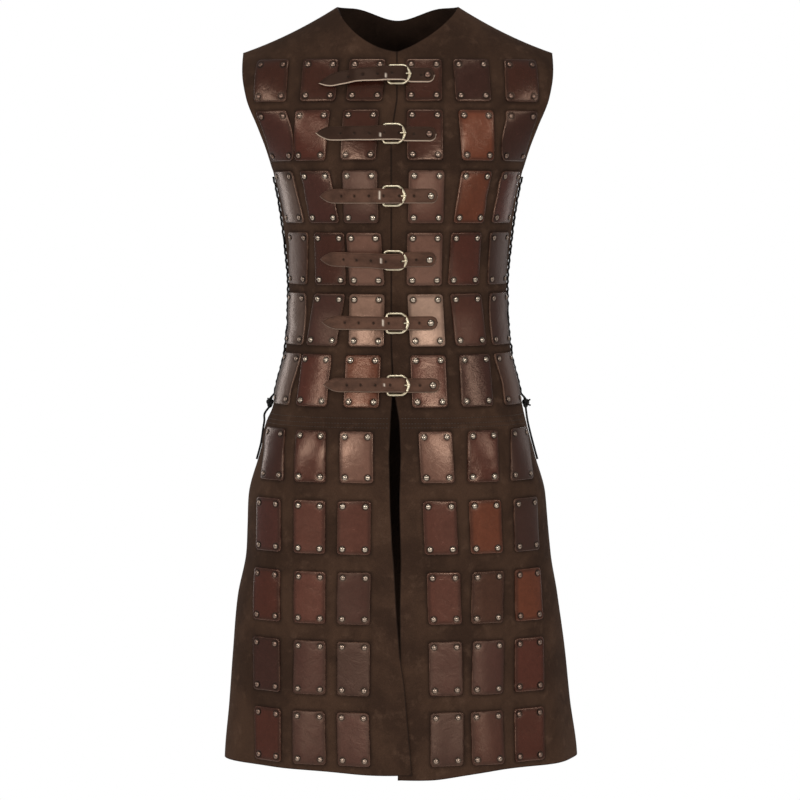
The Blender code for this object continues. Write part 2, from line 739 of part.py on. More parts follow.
def make_lace(side, word):
    """The lace that winds between the front and back edges, its knot and its free end."""
    out = LACE / 2 + LACE_CLEARANCE
    step = (LACE_TOP - LACE_FOOT) / (2 * LACE_TURNS)
    route = []
    for turn in range(2 * LACE_TURNS + 1):
        height = LACE_TOP - turn * step
        inset = LACE_INSET if turn % 2 == 0 else -LACE_INSET
        route.append(side_point(side, inset, height + LACE_STEP_HALF, out))
        route.append(side_point(side, inset, height - LACE_STEP_HALF, out))
    edge = section_value(KNOT_HEIGHT, "half_width")
    middle = np.array([side * (edge + KNOT_OFF_SIDE + KNOT_HALF[0]), 0.0, KNOT_HEIGHT])
    top = KNOT_HEIGHT + KNOT_HALF[2]
    route.append(middle + (0, 0, KNOT_HALF[2] + 4.0))
    route.append(np.array([middle[0], 0.0, top + KNOT_GAP]))
    rod(f"lace_{word}", route, LACE, BLACK_CORD, resolution=2)

    shape = bmesh.new()
    bmesh.ops.create_icosphere(shape, subdivisions=2, radius=1.0)
    points = [middle + np.array(v.co) * KNOT_HALF for v in shape.verts]
    faces = [[v.index for v in face.verts] for face in shape.faces]
    shape.free()
    add_solid(f"lace_knot_{word}", points, faces, BLACK_CORD)

    foot = KNOT_HEIGHT - KNOT_HALF[2] - KNOT_GAP
    lying = LACE / 2 + LACE_END_OFF_SKIRT
    places = [np.array([middle[0], 0.0, foot])]
    for share in (0.22, 0.45, 0.7, 1.0):
        height = foot + (LACE_END_FOOT - foot) * share
        edge = section_value(height, "half_width") + side * section_value(height, "lean")
        bulge = LACE_END_BULGE[side] * math.sin(math.pi * min(1.0, share / 0.7))
        reach = edge + lying + LACE_END_FLARE * share + bulge
        places.append(np.array([side * reach, -1.0, height]))
    rod(f"lace_end_{word}", through(places, 11), LACE, BLACK_CORD, resolution=2)


def main():
    for item in list(bpy.data.objects):
        bpy.data.objects.remove(item, do_unlink=True)
    make_bodice("bodice_front_left", FRONT, (LEFT,))
    make_bodice("bodice_front_right", FRONT, (RIGHT,))
    make_bodice("bodice_back", BACK, (LEFT, RIGHT))
    make_skirt("skirt_front_left", FRONT, (LEFT,))
    make_skirt("skirt_front_right", FRONT, (RIGHT,))
    make_skirt("skirt_back", BACK, (LEFT, RIGHT))
    for number, closure in enumerate(CLOSURES, start=1):
        make_strap(number, closure)
        make_chape(number, closure)
        make_buckle(number, closure)
    make_lace(LEFT, "left")
    make_lace(RIGHT, "right")


main()
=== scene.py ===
"""The look of a knee-length sleeveless jacket: soft leather, riveted plates, straps and laces.

Lengths are in millimetres until a mesh is made, and the camera's and lights' are in metres.
A place on the jacket is a face (front or back), an arc along the level section from the
body's middle, and a height. Left and right are as a viewer of the front sees them.
"""
import math
import random
from collections import namedtuple
from itertools import product

import bmesh
import bpy
import numpy as np
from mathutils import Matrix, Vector


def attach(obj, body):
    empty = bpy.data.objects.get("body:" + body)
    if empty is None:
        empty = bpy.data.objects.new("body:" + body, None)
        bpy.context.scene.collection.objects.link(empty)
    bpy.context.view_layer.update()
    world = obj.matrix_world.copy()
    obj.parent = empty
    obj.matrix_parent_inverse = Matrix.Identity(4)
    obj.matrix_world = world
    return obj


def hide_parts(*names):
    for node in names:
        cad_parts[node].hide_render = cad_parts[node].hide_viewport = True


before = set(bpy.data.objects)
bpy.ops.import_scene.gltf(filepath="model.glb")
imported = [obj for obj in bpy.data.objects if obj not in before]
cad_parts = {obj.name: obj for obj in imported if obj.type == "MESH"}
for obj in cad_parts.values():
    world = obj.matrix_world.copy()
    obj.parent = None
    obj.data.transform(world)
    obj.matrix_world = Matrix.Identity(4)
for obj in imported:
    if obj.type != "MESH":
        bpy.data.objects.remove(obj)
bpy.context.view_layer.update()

MM = 0.001
FRONT, BACK = -1, 1
LEFT, RIGHT = -1, 1
SIDE_WORDS = {LEFT: "left", RIGHT: "right"}
FACE_WORDS = {FRONT: "front", BACK: "back"}
PANELS = ((FRONT, (LEFT,)), (FRONT, (RIGHT,)), (BACK, (LEFT, RIGHT)))

# Leather: thickness of the suede and of a plate, the plates' width on the bodice (True) and on
# the skirt (False), their least distance from a side edge, and the gaps between panels' edges
WALL, PLATE = 2.0, 3.0
PLATE_WIDTHS = {True: 50.0, False: 47.0}
SIDE_MARGIN = 10.0
SEWN_GAP, LACED_GAP = 0.06, 8.0

# Level sections of the filled jacket: half width at the side or armhole, shift to the right,
# depths before and behind the middle plane, and roundness of the front and back curves
Section = namedtuple("Section", "height half_width lean front back front_round back_round")
SECTIONS = [Section(*row) for row in (
    (40, 221, 0, 66, 64, 2.3, 2.4),
    (-34, 218, 0, 90, 92, 2.3, 2.4),
    (-62, 217, 0, 100, 106, 2.25, 2.4),
    (-97, 211, 0, 112, 117, 2.15, 2.4),
    (-138, 195, 0, 124, 124, 2.05, 2.4),
    (-168, 184, 0, 131, 127, 2.0, 2.4),
    (-198, 176, 0, 136, 126, 1.95, 2.35),
    (-240, 167, 0, 138, 120, 1.9, 2.3),
    (-300, 159, 0, 130, 110, 1.85, 2.25),
    (-360, 154, 0, 112, 99, 1.85, 2.2),
    (-400, 155, 0, 103, 96, 1.9, 2.2),
    (-450, 159, 0, 106, 98, 1.95, 2.2),
    (-500, 171, 0, 113, 108, 2.0, 2.2),
    (-543, 180, 0, 119, 121, 2.1, 2.2),
    (-600, 196, -1, 124, 137, 2.3, 2.2),
    (-655, 211, -1, 124, 143, 2.3, 2.2),
    (-700, 214, 0, 122, 145, 2.2, 2.2),
    (-740, 217, 1, 120, 146, 2.15, 2.15),
    (-800, 228, 0, 119, 149, 2.05, 2.1),
    (-880, 237, 2, 123, 155, 1.95, 2.0),
    (-950, 243, 3, 129, 162, 1.9, 2.0),
    (-1042, 252, 5, 137, 170, 1.9, 2.0),
)]
SECTION_STEPS = 240
LEVEL_STEP = 2.0
LEVELS = np.arange(44.0, -1050.0, -LEVEL_STEP)
ARC_SHARES = np.linspace(0, 1, 161)

# Neck, shoulders and armholes
NECK_HALF_WIDTH = 85.0
SHOULDER_TOP, SHOULDER_SLOPE, SHOULDER_CURVE = 33.0, 0.634, 0.00111
SHOULDER_RUN = 133.0
FRONT_NECK_HEIGHT, FRONT_NECK_CURVE = -34.0, 0.7
FRONT_NECK_STRAIGHT = {LEFT: 0.1, RIGHT: 0.45}
BACK_NECK_HEIGHT, BACK_NECK_SCOOP = 17.6, 64.0
ARMHOLE_TOP, ARMHOLE_FOOT = -34.0, -198.0
ARMHOLE_REACH = {FRONT: 62.0, BACK: 58.0}
CREST_NECK, CREST_TIP, CREST_FOOT = 85.0, 28.0, -100.0

# Waist, hem and the skirt's soft folds
WAIST, HEM = -543.0, -1031.0
HEM_DROOP = {LEFT: 4.0, RIGHT: 11.0}
HEM_DROOP_FLAT, HEM_DROOP_REACH, HEM_DROOP_FROM = 40.0, 115.0, -985.0
SKIRT_WAVE, WAVES_FROM = 3.0, -700.0
WAVES = {(FRONT, LEFT): 5, (FRONT, RIGHT): 6, (BACK, LEFT): 6, (BACK, RIGHT): 5}

# Rows of plates on the front: top, bottom, the arcs of the six plates' middles at each, their
# dyes by letter, where some pale ones paint sheen, a capital for a duller one, and how much
# painted light brightens their rivets
PlateRow = namedtuple("PlateRow", "top bottom above below tones shine")
FRONT_ROWS = [PlateRow(*row) for row in (
    (-45, -103, (-177, -106, -41, 36, 101, 173), (-181, -111, -46, 36, 105, 176), "kkkkdk", 0.35),
    (-115, -184, (-180, -118, -50, 37, 108, 176), (-187, -127, -55, 38, 115, 186), "mrkkod", 0.5),
    (-198, -270, (-190, -122, -53, 40, 115, 187), (-170, -108, -51, 39, 104, 171), "gmMWom", 1.0),
    (-283, -356, (-163, -101, -48, 38, 101, 169), (-165, -98, -43, 37, 96, 163), "BkttrD", 1.0),
    (-368, -441, (-169, -99, -43, 38, 99, 167), (-178, -112, -44, 42, 107, 177), "gMplRD", 1.0),
    (-453, -525, (-185, -119, -48, 42, 112, 182), (-190, -126, -51, 45, 115, 187), "growdB", 1.0),
    (-558, -629, (-192, -124, -57, 52, 122, 194), (-187, -123, -56, 57, 122, 187), "drttrD", 1.0),
    (-654, -729, (-191, -123, -59, 59, 124, 191), (-194, -126, -62, 60, 125, 191), "mwwwoD", 1.0),
    (-754, -827, (-195, -125, -61, 63, 127, 191), (-193, -125, -62, 66, 126, 193), "rwMwbo", 0.6),
    (-851, -926, (-195, -126, -63, 65, 127, 191), (-196, -128, -65, 65, 124, 190), "dMDMMr", 0.5),
    (-949, -1023, (-195, -129, -66, 66, 123, 189), (-196, -130, -66, 64, 123, 188), "rMMDRr", 0.5),
)]
PLATE_ROWS = {True: FRONT_ROWS[:6], False: FRONT_ROWS[6:]}
YOKE_FOOT = FRONT_ROWS[0].top
BACK_MIDDLES = {True: (33.0, 98.0, 163.0), False: (33.0, 98.0, 165.0)}
BACK_TONES = "rmmdbrmrdmbr"

# Front edges, which meet, open as a slit and then overlap: heights, and the arcs of the edges of
# the left and right halves there
FRONT_EDGES = (
    (40, -1.2, -0.8), (-100, -1.2, -0.8), (-150, -9.0, -8.6),
    (-440, -9.0, -8.6), (-500, -7.0, -5.5), (-543, -10.0, 2.0),
    (-590, -11.0, 5.0), (-650, -9.6, 3.4), (-720, -8.2, 3.2),
    (-790, -3.0, 3.2), (-832, -0.7, 2.8), (-870, 1.0, 2.0),
    (-915, 7.0, -1.0), (-960, 10.0, -3.0), (-1042, 15.5, -5.0),
)
OVERLAP_FROM, OVERLAP_FULL = -815.0, -862.0
OVERLAP_LIFT, OVERLAP_FLAT, OVERLAP_FADE = 1.45, 22.0, 40.0

# Straps and buckles: middle height, arc of the buckle, ends of the strap, how far out the plates
# hold it, sag of the tip, curl of the lower edge, how pale that edge is, how much painted shade
# darkens the face, and middle and half length of the painted highlight dash beside the buckle
Closure = namedtuple("Closure", "height buckle strap_end tip lift sag curl pale oiled rubbed")
CLOSURES = [Closure(*row) for row in (
    (-68.5, 7.0, 51.0, -108.0, 0.0, 12.0, 5.0, 1.0, 0.85, (-4.0, 2.0)),
    (-149, 0.0, 53.0, -112.0, -0.8, -2.5, 5.0, 0.9, 0.8, (-3.4, 1.6)),
    (-233, 0.0, 55.0, -112.0, -0.9, 0.0, 0.0, 0.3, 0.0, (1.0, 4.6)),
    (-319, 2.0, 53.0, -112.0, 0.0, 0.0, 0.0, 0.2, 0.0, (1.4, 2.6)),
    (-408.5, 4.5, 54.0, -105.0, 4.8, 0.0, 0.0, 0.25, 0.0, (0.7, 3.8)),
    (-495, 5.5, 58.0, -104.0, 0.5, 0.0, 0.0, 0.2, 0.1, (0.0, 1.0)),
)]

# Sizes of the straps, chapes and buckles, with how much thicker the wire is drawn than the
# solids', how far the bar and the bow stand out, and the gaps between the layers
STRAP_WIDTH, STRAP_THICKNESS = 20.0, 2.3
CHAPE_WIDTH, CHAPE_THICKNESS, CHAPE_LENGTH = 16.0, 1.4, 41.0
WIRE, PRONG, WIRE_SHARE = 3.0, 2.0, 1.25
FRAME_LENGTH, FRAME_HALF_HEIGHT, FRAME_CORNER = 29.0, 13.0, 3.0
BAR_AT, BAR_OUT, BOW_OUT = -19.5, 6.7, 7.7
STRAP_OVER_BAR = 12.0
AIR, CHAPE_GAP, GRIP_GAP = 0.4, 0.3, 0.35

# Side laces
LACE = 3.0
LACE_TOP, LACE_FOOT, LACE_TURNS = -207.0, -511.0, 15
LACE_INSET, LACE_STEP_HALF = 5.0, 1.6
KNOT_HEIGHT, KNOT_HALF, KNOT_OFF_SIDE = -526.0, (5.0, 5.0, 6.5), 0.4
LACE_END_FOOT = -606.0


# The form that everything lies on
def ease(t):
    """A smooth step from 0 to 1."""
    t = np.clip(t, 0, 1)
    return t * t * (3 - 2 * t)


def smooth_column(name):
    """One column of SECTIONS at LEVELS, on a smooth curve that doesn't swing past its rows."""
    depths = -np.array([row.height for row in SECTIONS], float)
    values = np.array([getattr(row, name) for row in SECTIONS], float)
    slopes = np.diff(values) / np.diff(depths)
    over, under = slopes[:-1], slopes[1:]
    lean = np.zeros(len(values))
    np.divide(2 * over * under, over + under, out=lean[1:-1], where=over * under > 0)
    level = np.clip(-LEVELS, depths[0], depths[-1])
    at = np.clip(np.searchsorted(depths, level, "right") - 1, 0, len(depths) - 2)
    span = depths[at + 1] - depths[at]
    t = (level - depths[at]) / span
    return (
        (2 * t**3 - 3 * t**2 + 1) * values[at] + (t**3 - 2 * t**2 + t) * lean[at] * span
        + (3 * t**2 - 2 * t**3) * values[at + 1] + (t**3 - t**2) * lean[at + 1] * span
    )


COLUMNS = {name: smooth_column(name) for name in Section._fields[1:]}


def level_value(name, height):
    """A column of SECTIONS at any height."""
    return np.interp(-np.asarray(height, float), -LEVELS, COLUMNS[name])


def shoulder_height(x):
    """Height of the shoulder seam over x, carried on straight inside the neck."""
    out = np.abs(x) - NECK_HALF_WIDTH
    return SHOULDER_TOP - SHOULDER_SLOPE * out + SHOULDER_CURVE * np.maximum(0.0, out) ** 2


def crest(x, height):
    """Share of the section's depth under the rounded shoulder: 0 at the seam, 1 below."""
    share = np.clip((np.abs(x) - NECK_HALF_WIDTH) / SHOULDER_RUN, 0, 1)
    reach = CREST_NECK + (CREST_TIP - CREST_NECK) * share
    t = np.clip((shoulder_height(x) - height) / reach, 0, 1)
    return np.sqrt(1 - (1 - t) ** 2)


def side_edge(height, face, gap):
    """Distance of a panel's side edge from the middle plane: the armhole, or half a gap."""
    middle = (ARMHOLE_TOP + ARMHOLE_FOOT) / 2
    half = (ARMHOLE_TOP - ARMHOLE_FOOT) / 2
    inside = np.maximum(0.0, 1 - ((height - middle) / half) ** 2)
    return np.maximum(gap / 2, ARMHOLE_REACH[face] * np.sqrt(inside))


def section_shape(height, face, gap):
    """Depth, roundness, half width at the side edge, and the curve's full half width."""
    side = FACE_WORDS[face]
    deep = level_value(side, height)
    power = level_value(side + "_round", height)
    edge = level_value("half_width", height)
    cut = side_edge(height, face, gap)
    return deep, power, edge, edge / (1 - (cut / deep) ** power) ** (1 / power)


def depth_at(face, x, height):
    """Depth of the shoulder region over a point of the front view."""
    deep, power, _, full = section_shape(height, face, LACED_GAP)
    return deep * np.maximum(0.0, 1 - (np.abs(x) / full) ** power) ** (1 / power) * crest(x, height)


def runs(grid, axis):
    """Distance of each point of a grid from the start of its line along an axis."""
    steps = np.linalg.norm(np.diff(grid, axis=axis), axis=-1)
    return np.insert(np.cumsum(steps, axis=axis), 0, 0, axis=axis)


def surface_table(face, gap):
    """Across and depth of half a section, for each level and share of its arc, and whole arcs."""
    deep, power, edge, full = (v[:, None] for v in section_shape(LEVELS, face, gap))
    turn = np.linspace(0, 1, SECTION_STEPS) * np.arcsin((edge / full) ** (power / 2))
    x = full * np.sin(turn) ** (2 / power)
    depth = deep * np.cos(turn) ** (2 / power)
    heights = np.broadcast_to(LEVELS[:, None], x.shape)
    depth = np.where(heights > CREST_FOOT, depth * crest(x, heights), depth)
    arcs = runs(np.stack([x, depth], axis=-1), 1)
    even = [[np.interp(ARC_SHARES * a[-1], a, v) for a, v in zip(arcs, values)] for values in (x, depth)]
    return np.array(even), arcs[:, -1]


TABLES = {
    (face, bodice): surface_table(face, LACED_GAP if bodice else SEWN_GAP)
    for face in (FRONT, BACK)
    for bodice in (True, False)
}


def arc_end(face, height, bodice):
    """The whole arc from the body's middle to the side edge."""
    return np.where(bodice, *(np.interp(-np.asarray(height, float), -LEVELS, TABLES[face, part][1])
                              for part in (True, False)))


def read_table(table, height, share):
    """Across and depth between a table's levels and shares."""
    row = np.clip((LEVELS[0] - height) / LEVEL_STEP, 0, len(LEVELS) - 1.001)
    column = np.clip(share, 0, 1) * (len(ARC_SHARES) - 1.001)
    r, c = row.astype(int), column.astype(int)
    down, right = row - r, column - c
    above = table[:, r, c] * (1 - right) + table[:, r, c + 1] * right
    below = table[:, r + 1, c] * (1 - right) + table[:, r + 1, c + 1] * right
    return above * (1 - down) + below * down


def skin(face, arc, height, bodice):
    """Points of the plain outer surface."""
    share = np.abs(arc) / arc_end(face, height, bodice)
    x, depth = np.where(bodice, *(read_table(TABLES[face, part][0], height, share)
                                  for part in (True, False)))
    return np.stack([np.copysign(x, arc) + level_value("lean", height), face * depth, height], axis=-1)


def unit(vectors):
    return vectors / np.linalg.norm(vectors, axis=-1, keepdims=True)


SLOPE_STEP = 2.5


def outward(face, arc, height, bodice):
    """Unit normals of the plain outer surface."""
    end = arc_end(face, height, bodice)
    right = skin(face, np.minimum(end, arc + SLOPE_STEP), height, bodice)
    left = skin(face, np.maximum(-end, arc - SLOPE_STEP), height, bodice)
    up = skin(face, arc, height + SLOPE_STEP, bodice) - skin(face, arc, height - SLOPE_STEP, bodice)
    return unit(np.cross(right - left, up) * -face)


def front_edge(side, height):
    """Arc of a front half's edge, from the middle of the body."""
    heights, left, right = np.array(FRONT_EDGES[::-1]).T
    return np.interp(height, heights, left if side == LEFT else right)


def overlap(side, arc, height):
    """How far the lapped front edges of the skirt lie out of or into the body."""
    down = ease((OVERLAP_FROM - height) / (OVERLAP_FROM - OVERLAP_FULL))
    away = side * (arc - front_edge(side, height))
    near = 1 - ease((away - OVERLAP_FLAT) / OVERLAP_FADE)
    return -side * OVERLAP_LIFT * down * near


def wave(face, side, arc, height, bodice):
    """Soft upright folds of the skirt, which fade at its seams."""
    down = ease((WAVES_FROM - height) / (WAVES_FROM - HEM))
    share = np.minimum(1.0, np.abs(arc) / arc_end(face, height, bodice))
    return SKIRT_WAVE * down * np.sin(math.pi * WAVES[face, side] * share)


# Creases of each face: arc and height of the middle, half length, tilt from upright, half width
# and depth, where a negative depth is a trough
CREASE_BEND = 0.5
CREASES = {
    FRONT: (
        (-148, -214, 38, 62, 7, -1.5), (150, -221, 44, -55, 8, -1.4),
        (-205, -300, 30, 78, 6, -1.2), (-196, -415, 36, 84, 7, -1.6),
        (198, -398, 33, -80, 6, -1.5), (201, -447, 40, -88, 8, 1.1),
        (-6, -270, 60, 4, 5, -0.8), (-20, -384, 42, -8, 5, -0.7),
        (-90, -640, 66, 6, 12, -1.4), (94, -668, 80, -5, 13, -1.6),
        (158, -745, 110, -3, 14, 1.5), (-159, -800, 120, 4, 15, -1.7),
        (-31, -905, 95, -5, 12, 1.6), (33, -760, 90, 4, 11, -1.2),
        (-236, -561, 22, 4, 34, 4.3), (-150, -536, 46, 91, 2.6, 0.8),
        (-84, -549, 40, 88, 2.8, -0.8), (-172, -551, 30, 93, 2.4, 0.7),
        (128, -541, 52, 92, 2.6, 0.8), (70, -551, 36, 89, 2.8, -0.7),
        (178, -553, 34, 86, 2.4, 0.9),
    ),
    BACK: (
        (-236, -561, 22, -4, 34, 4.3), (-90, -538, 48, 92, 2.8, 0.8),
        (104, -552, 40, 88, 2.6, -0.8), (0, -300, 105, 2, 9, -1.8),
        (-130, -420, 48, 72, 8, -1.6), (66, -447, 52, -84, 7, -1.3),
        (131, -394, 40, -66, 8, -1.5), (-65, -240, 62, 12, 9, -1.1),
        (66, -700, 90, -4, 13, 1.7), (-132, -820, 120, 5, 14, -1.9),
        (0, -860, 130, -2, 15, 1.8), (132, -930, 85, 3, 12, -1.5),
    ),
}


def creases(face, arc, height):
    """Depth of the listed creases."""
    total = np.zeros(np.broadcast(arc, height).shape)
    for middle_arc, middle_height, run, tilt, width, depth in CREASES[face]:
        turn = math.radians(tilt)
        right, down = arc - middle_arc, middle_height - height
        along = (right * math.sin(turn) + down * math.cos(turn)) / run
        across = (right * math.cos(turn) - down * math.sin(turn)) / width - CREASE_BEND * along**2
        total = total + depth * np.exp(-np.abs(along) ** 3 - across**2)
    return total


def lie(face, side, arc, height, out=0.0):
    """Points and unit normals out from a panel, on its folds and creases."""
    arc, height = np.broadcast_arrays(np.asarray(arc, float), np.asarray(height, float))
    bodice = height > WAIST
    normal = outward(face, arc, height, bodice)
    folds = wave(face, side, arc, height, bodice)
    if face == FRONT:
        folds = folds + overlap(side, arc, height)
    swell = creases(face, arc, height) + out + np.where(bodice, 0, folds)
    return skin(face, arc, height, bodice) + normal * swell[..., None], normal


# Making meshes
def add_piece(name, points, faces, slot, node=None, sharp=40, material=None, **values):
    """A mesh piece from points in millimetres, with values, or colours, that its points carry."""
    mesh = bpy.data.meshes.new(name)
    mesh.from_pydata((np.asarray(points) * MM).tolist(), [], faces)
    shape = bmesh.new()
    shape.from_mesh(mesh)
    bmesh.ops.recalc_face_normals(shape, faces=shape.faces)
    shape.to_mesh(mesh)
    shape.free()
    for label, numbers in values.items():
        numbers = np.asarray(numbers, np.float32)
        kind, field = ("FLOAT_COLOR", "color") if numbers.ndim == 2 else ("FLOAT", "value")
        mesh.attributes.new(label, kind, "POINT").data.foreach_set(field, numbers.ravel())
    mesh.shade_smooth()
    mesh.set_sharp_from_angle(angle=math.radians(sharp))
    return finish_piece(name, mesh, slot, node, material)


def put_in_scene(name, data):
    thing = bpy.data.objects.new(name, data)
    bpy.context.collection.objects.link(thing)
    return thing


def finish_piece(name, data, slot, node=None, material=None):
    """A piece of the part, in its slot's material or another, in place of a solid's node."""
    piece = put_in_scene(name, data)
    data.materials.append(material or MATERIALS[slot])
    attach(piece, "root")
    if node:
        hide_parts(node)
    return piece


def quads(index):
    """Quads between the neighbours in a grid of point numbers."""
    corners = index[:-1, :-1], index[:-1, 1:], index[1:, 1:], index[1:, :-1]
    return np.stack(corners, axis=-1).reshape(-1, 4).tolist()


def closed_slab(top, bottom):
    """Points and faces of a closed body between two grids of the same size."""
    index = np.arange(top[..., 0].size).reshape(top.shape[:2])
    under = index + index.size
    rim = np.concatenate((index[0, :-1], index[:-1, -1], index[-1, :0:-1], index[::-1, 0]))
    faces = quads(index) + quads(under[:, ::-1]) + quads(np.stack([rim + index.size, rim]))
    return np.concatenate([top.reshape(-1, 3), bottom.reshape(-1, 3)]), faces


def through(points, count):
    """A smooth curve through a few points, read at even steps."""
    points = np.array(points, float)
    padded = np.vstack([2 * points[0] - points[1], points, 2 * points[-1] - points[-2]])
    steps = np.linspace(0, len(points) - 1, count)
    at = np.minimum(steps.astype(int), len(points) - 2)
    f = (steps - at)[:, None]
    a, b, c, d = (padded[at + k] for k in range(4))
    return 0.5 * (2 * b + (c - a) * f + (2 * a - 5 * b + 4 * c - d) * f**2 + (3 * b - a - 3 * c + d) * f**3)


def rod(name, points, diameter, slot, node=None, closed=False, radii=None):
    """A round bar or cord along points in millimetres."""
    curve = bpy.data.curves.new(name, "CURVE")
    curve.dimensions = "3D"
    curve.bevel_depth = diameter / 2 * MM
    curve.bevel_resolution = 4
    curve.use_fill_caps = not closed
    line = curve.splines.new("POLY")
    line.points.add(len(points) - 1)
    for k, point in enumerate(points):
        line.points[k].co = (*[v * MM for v in point], 1)
        if radii is not None:
            line.points[k].radius = radii[k]
    line.use_cyclic_u = closed
    line.use_smooth = True
    return finish_piece(name, curve, slot, node)


# Materials
def srgb(red, green, blue):
    """A colour given as it looks on a screen, 0 to 255, as the shaders' linear values."""
    shares = [v / 255 for v in (red, green, blue)]
    return (*(v / 12.92 if v <= 0.04045 else ((v + 0.055) / 1.055) ** 2.4 for v in shares), 1.0)


class Signal:
    """A value that varies over a surface; arithmetic on it adds Math nodes."""

    def __init__(self, finish, socket):
        self.finish = finish
        self.socket = socket

    def maths(self, operation, *values):
        return self.finish.node("Math", {"operation": operation}, dict(enumerate(values)))

    def __add__(self, other):
        return self.maths("ADD", self, other)

    __radd__ = __add__

    def __mul__(self, other):
        return self.maths("MULTIPLY", self, other)

    def __sub__(self, other):
        return self.maths("SUBTRACT", self, other)

    def __rsub__(self, other):
        return self.maths("SUBTRACT", other, self)

    def step(self, low, high):
        """A smooth step from 0 at low to 1 at high."""
        sockets = {"Value": self, "From Min": low, "From Max": high}
        return self.finish.node("MapRange", {"interpolation_type": "SMOOTHSTEP"}, sockets)


class Finish:
    """A material while it is made: its nodes and its one Principled shader."""

    def __init__(self, name, **constants):
        self.material = bpy.data.materials.new(name)
        self.material.use_nodes = True
        self.tree = self.material.node_tree
        self.shader = self.tree.nodes["Principled BSDF"]
        for label, value in constants.items():
            self.shader.inputs[label.replace("_", " ")].default_value = value

    def node(self, kind, settings, sockets, output=0):
        """The first output, or the one asked for, of a new node."""
        made = self.tree.nodes.new("ShaderNode" + kind)
        for label, value in settings.items():
            setattr(made, label, value)
        for label, value in sockets.items():
            if isinstance(value, Signal):
                self.tree.links.new(value.socket, made.inputs[label])
            else:
                made.inputs[label].default_value = value
        return Signal(self, made.outputs[output])

    def place(self):
        """Where a point lies on the jacket, in metres."""
        return self.node("TexCoord", {}, {}, "Object")

    def attribute(self, name, output="Fac"):
        return self.node("Attribute", {"attribute_name": name}, {}, output)

    def noise(self, scale, detail, rough, stretch=(1, 1, 1), warp=0.0):
        """Soft noise with a number of patches to the metre."""
        spot = self.node("VectorMath", {"operation": "MULTIPLY"}, {0: self.place(), 1: stretch})
        sockets = {"Vector": spot, "Scale": scale, "Detail": detail, "Roughness": rough, "Distortion": warp}
        return self.node("TexNoise", {}, sockets)

    def cells(self, scale):
        """Distance to the nearest of a scatter of points, for pores."""
        return self.node("TexVoronoi", {}, {"Vector": self.place(), "Scale": scale})

    def blend(self, share, under, over):
        """A colour between two, by a share from 0 to 1."""
        return self.node("Mix", {"data_type": "RGBA"}, {0: share, 6: under, 7: over}, 2)

    def coat(self, colour, *coats):
        """A colour under coats of others, each with its share from 0 to 1."""
        for share, over in coats:
            colour = self.blend(share, colour, over)
        return colour

    def shade(self, colour, amount):
        """A colour made lighter or darker by an amount."""
        return self.node("VectorMath", {"operation": "SCALE"}, {0: colour, "Scale": amount})

    def bump(self, height, distance, strength, under=None):
        """A normal from a height that varies from 0 to 1, over a distance in metres."""
        sockets = {"Height": height, "Distance": distance, "Strength": strength}
        if under is not None:
            sockets["Normal"] = under
        return self.node("Bump", {}, sockets)

    def feed(self, **signals):
        for label, signal in signals.items():
            self.tree.links.new(signal.socket, self.shader.inputs[label.replace("_", " ")])
        return self.material


WARM_SHINE = (1.0, 0.64, 0.46, 1.0)
# Painted shade on the suede, along its cut edges and round the plates
SUEDE_PAINTED_SHADE = srgb(30, 21, 16)


def soft_leather():
    """Dark suede with a short nap, rubbed lighter in clouds, and a raw cut edge; painted shade darkens it
    along that edge and round the plates that lie on it.
    """
    finish = Finish("soft_leather", Roughness=0.92, Specular_IOR_Level=0.12, Sheen_Weight=0.05,
                    Sheen_Roughness=0.5, Sheen_Tint=srgb(150, 120, 95))
    clouds = finish.noise(13, 5, 0.62, warp=0.4)
    patches = finish.noise(55, 4, 0.6)
    nap = finish.noise(900, 3, 0.7)
    colour = finish.blend(clouds.step(0.34, 0.66), srgb(55, 38, 28), srgb(73, 52, 39))
    colour = finish.blend(patches.step(0.52, 0.8) * 0.55, colour, srgb(94, 70, 55))
    # Painted shade: the suede darkens near each plate, as the shadow the plate casts on it
    painted_contact_shade = 1 - finish.attribute("plate").step(-1.0, 5.5)
    # Painted shade along the panel's cut edges, as the dark gap beside them
    painted_edge_shade = 1 - finish.attribute("border").step(0.3, 1.8)
    colour = finish.coat(
        finish.shade(colour, nap + 0.5),
        (painted_contact_shade * 0.5, SUEDE_PAINTED_SHADE),
        (painted_edge_shade * 0.7, SUEDE_PAINTED_SHADE),
        (finish.attribute("inside") * 0.5, srgb(26, 19, 15)),
    )
    grain = finish.bump(patches, 0.0012, 0.6, finish.bump(nap, 0.0004, 0.7))
    return finish.feed(Base_Color=colour, Normal=grain)


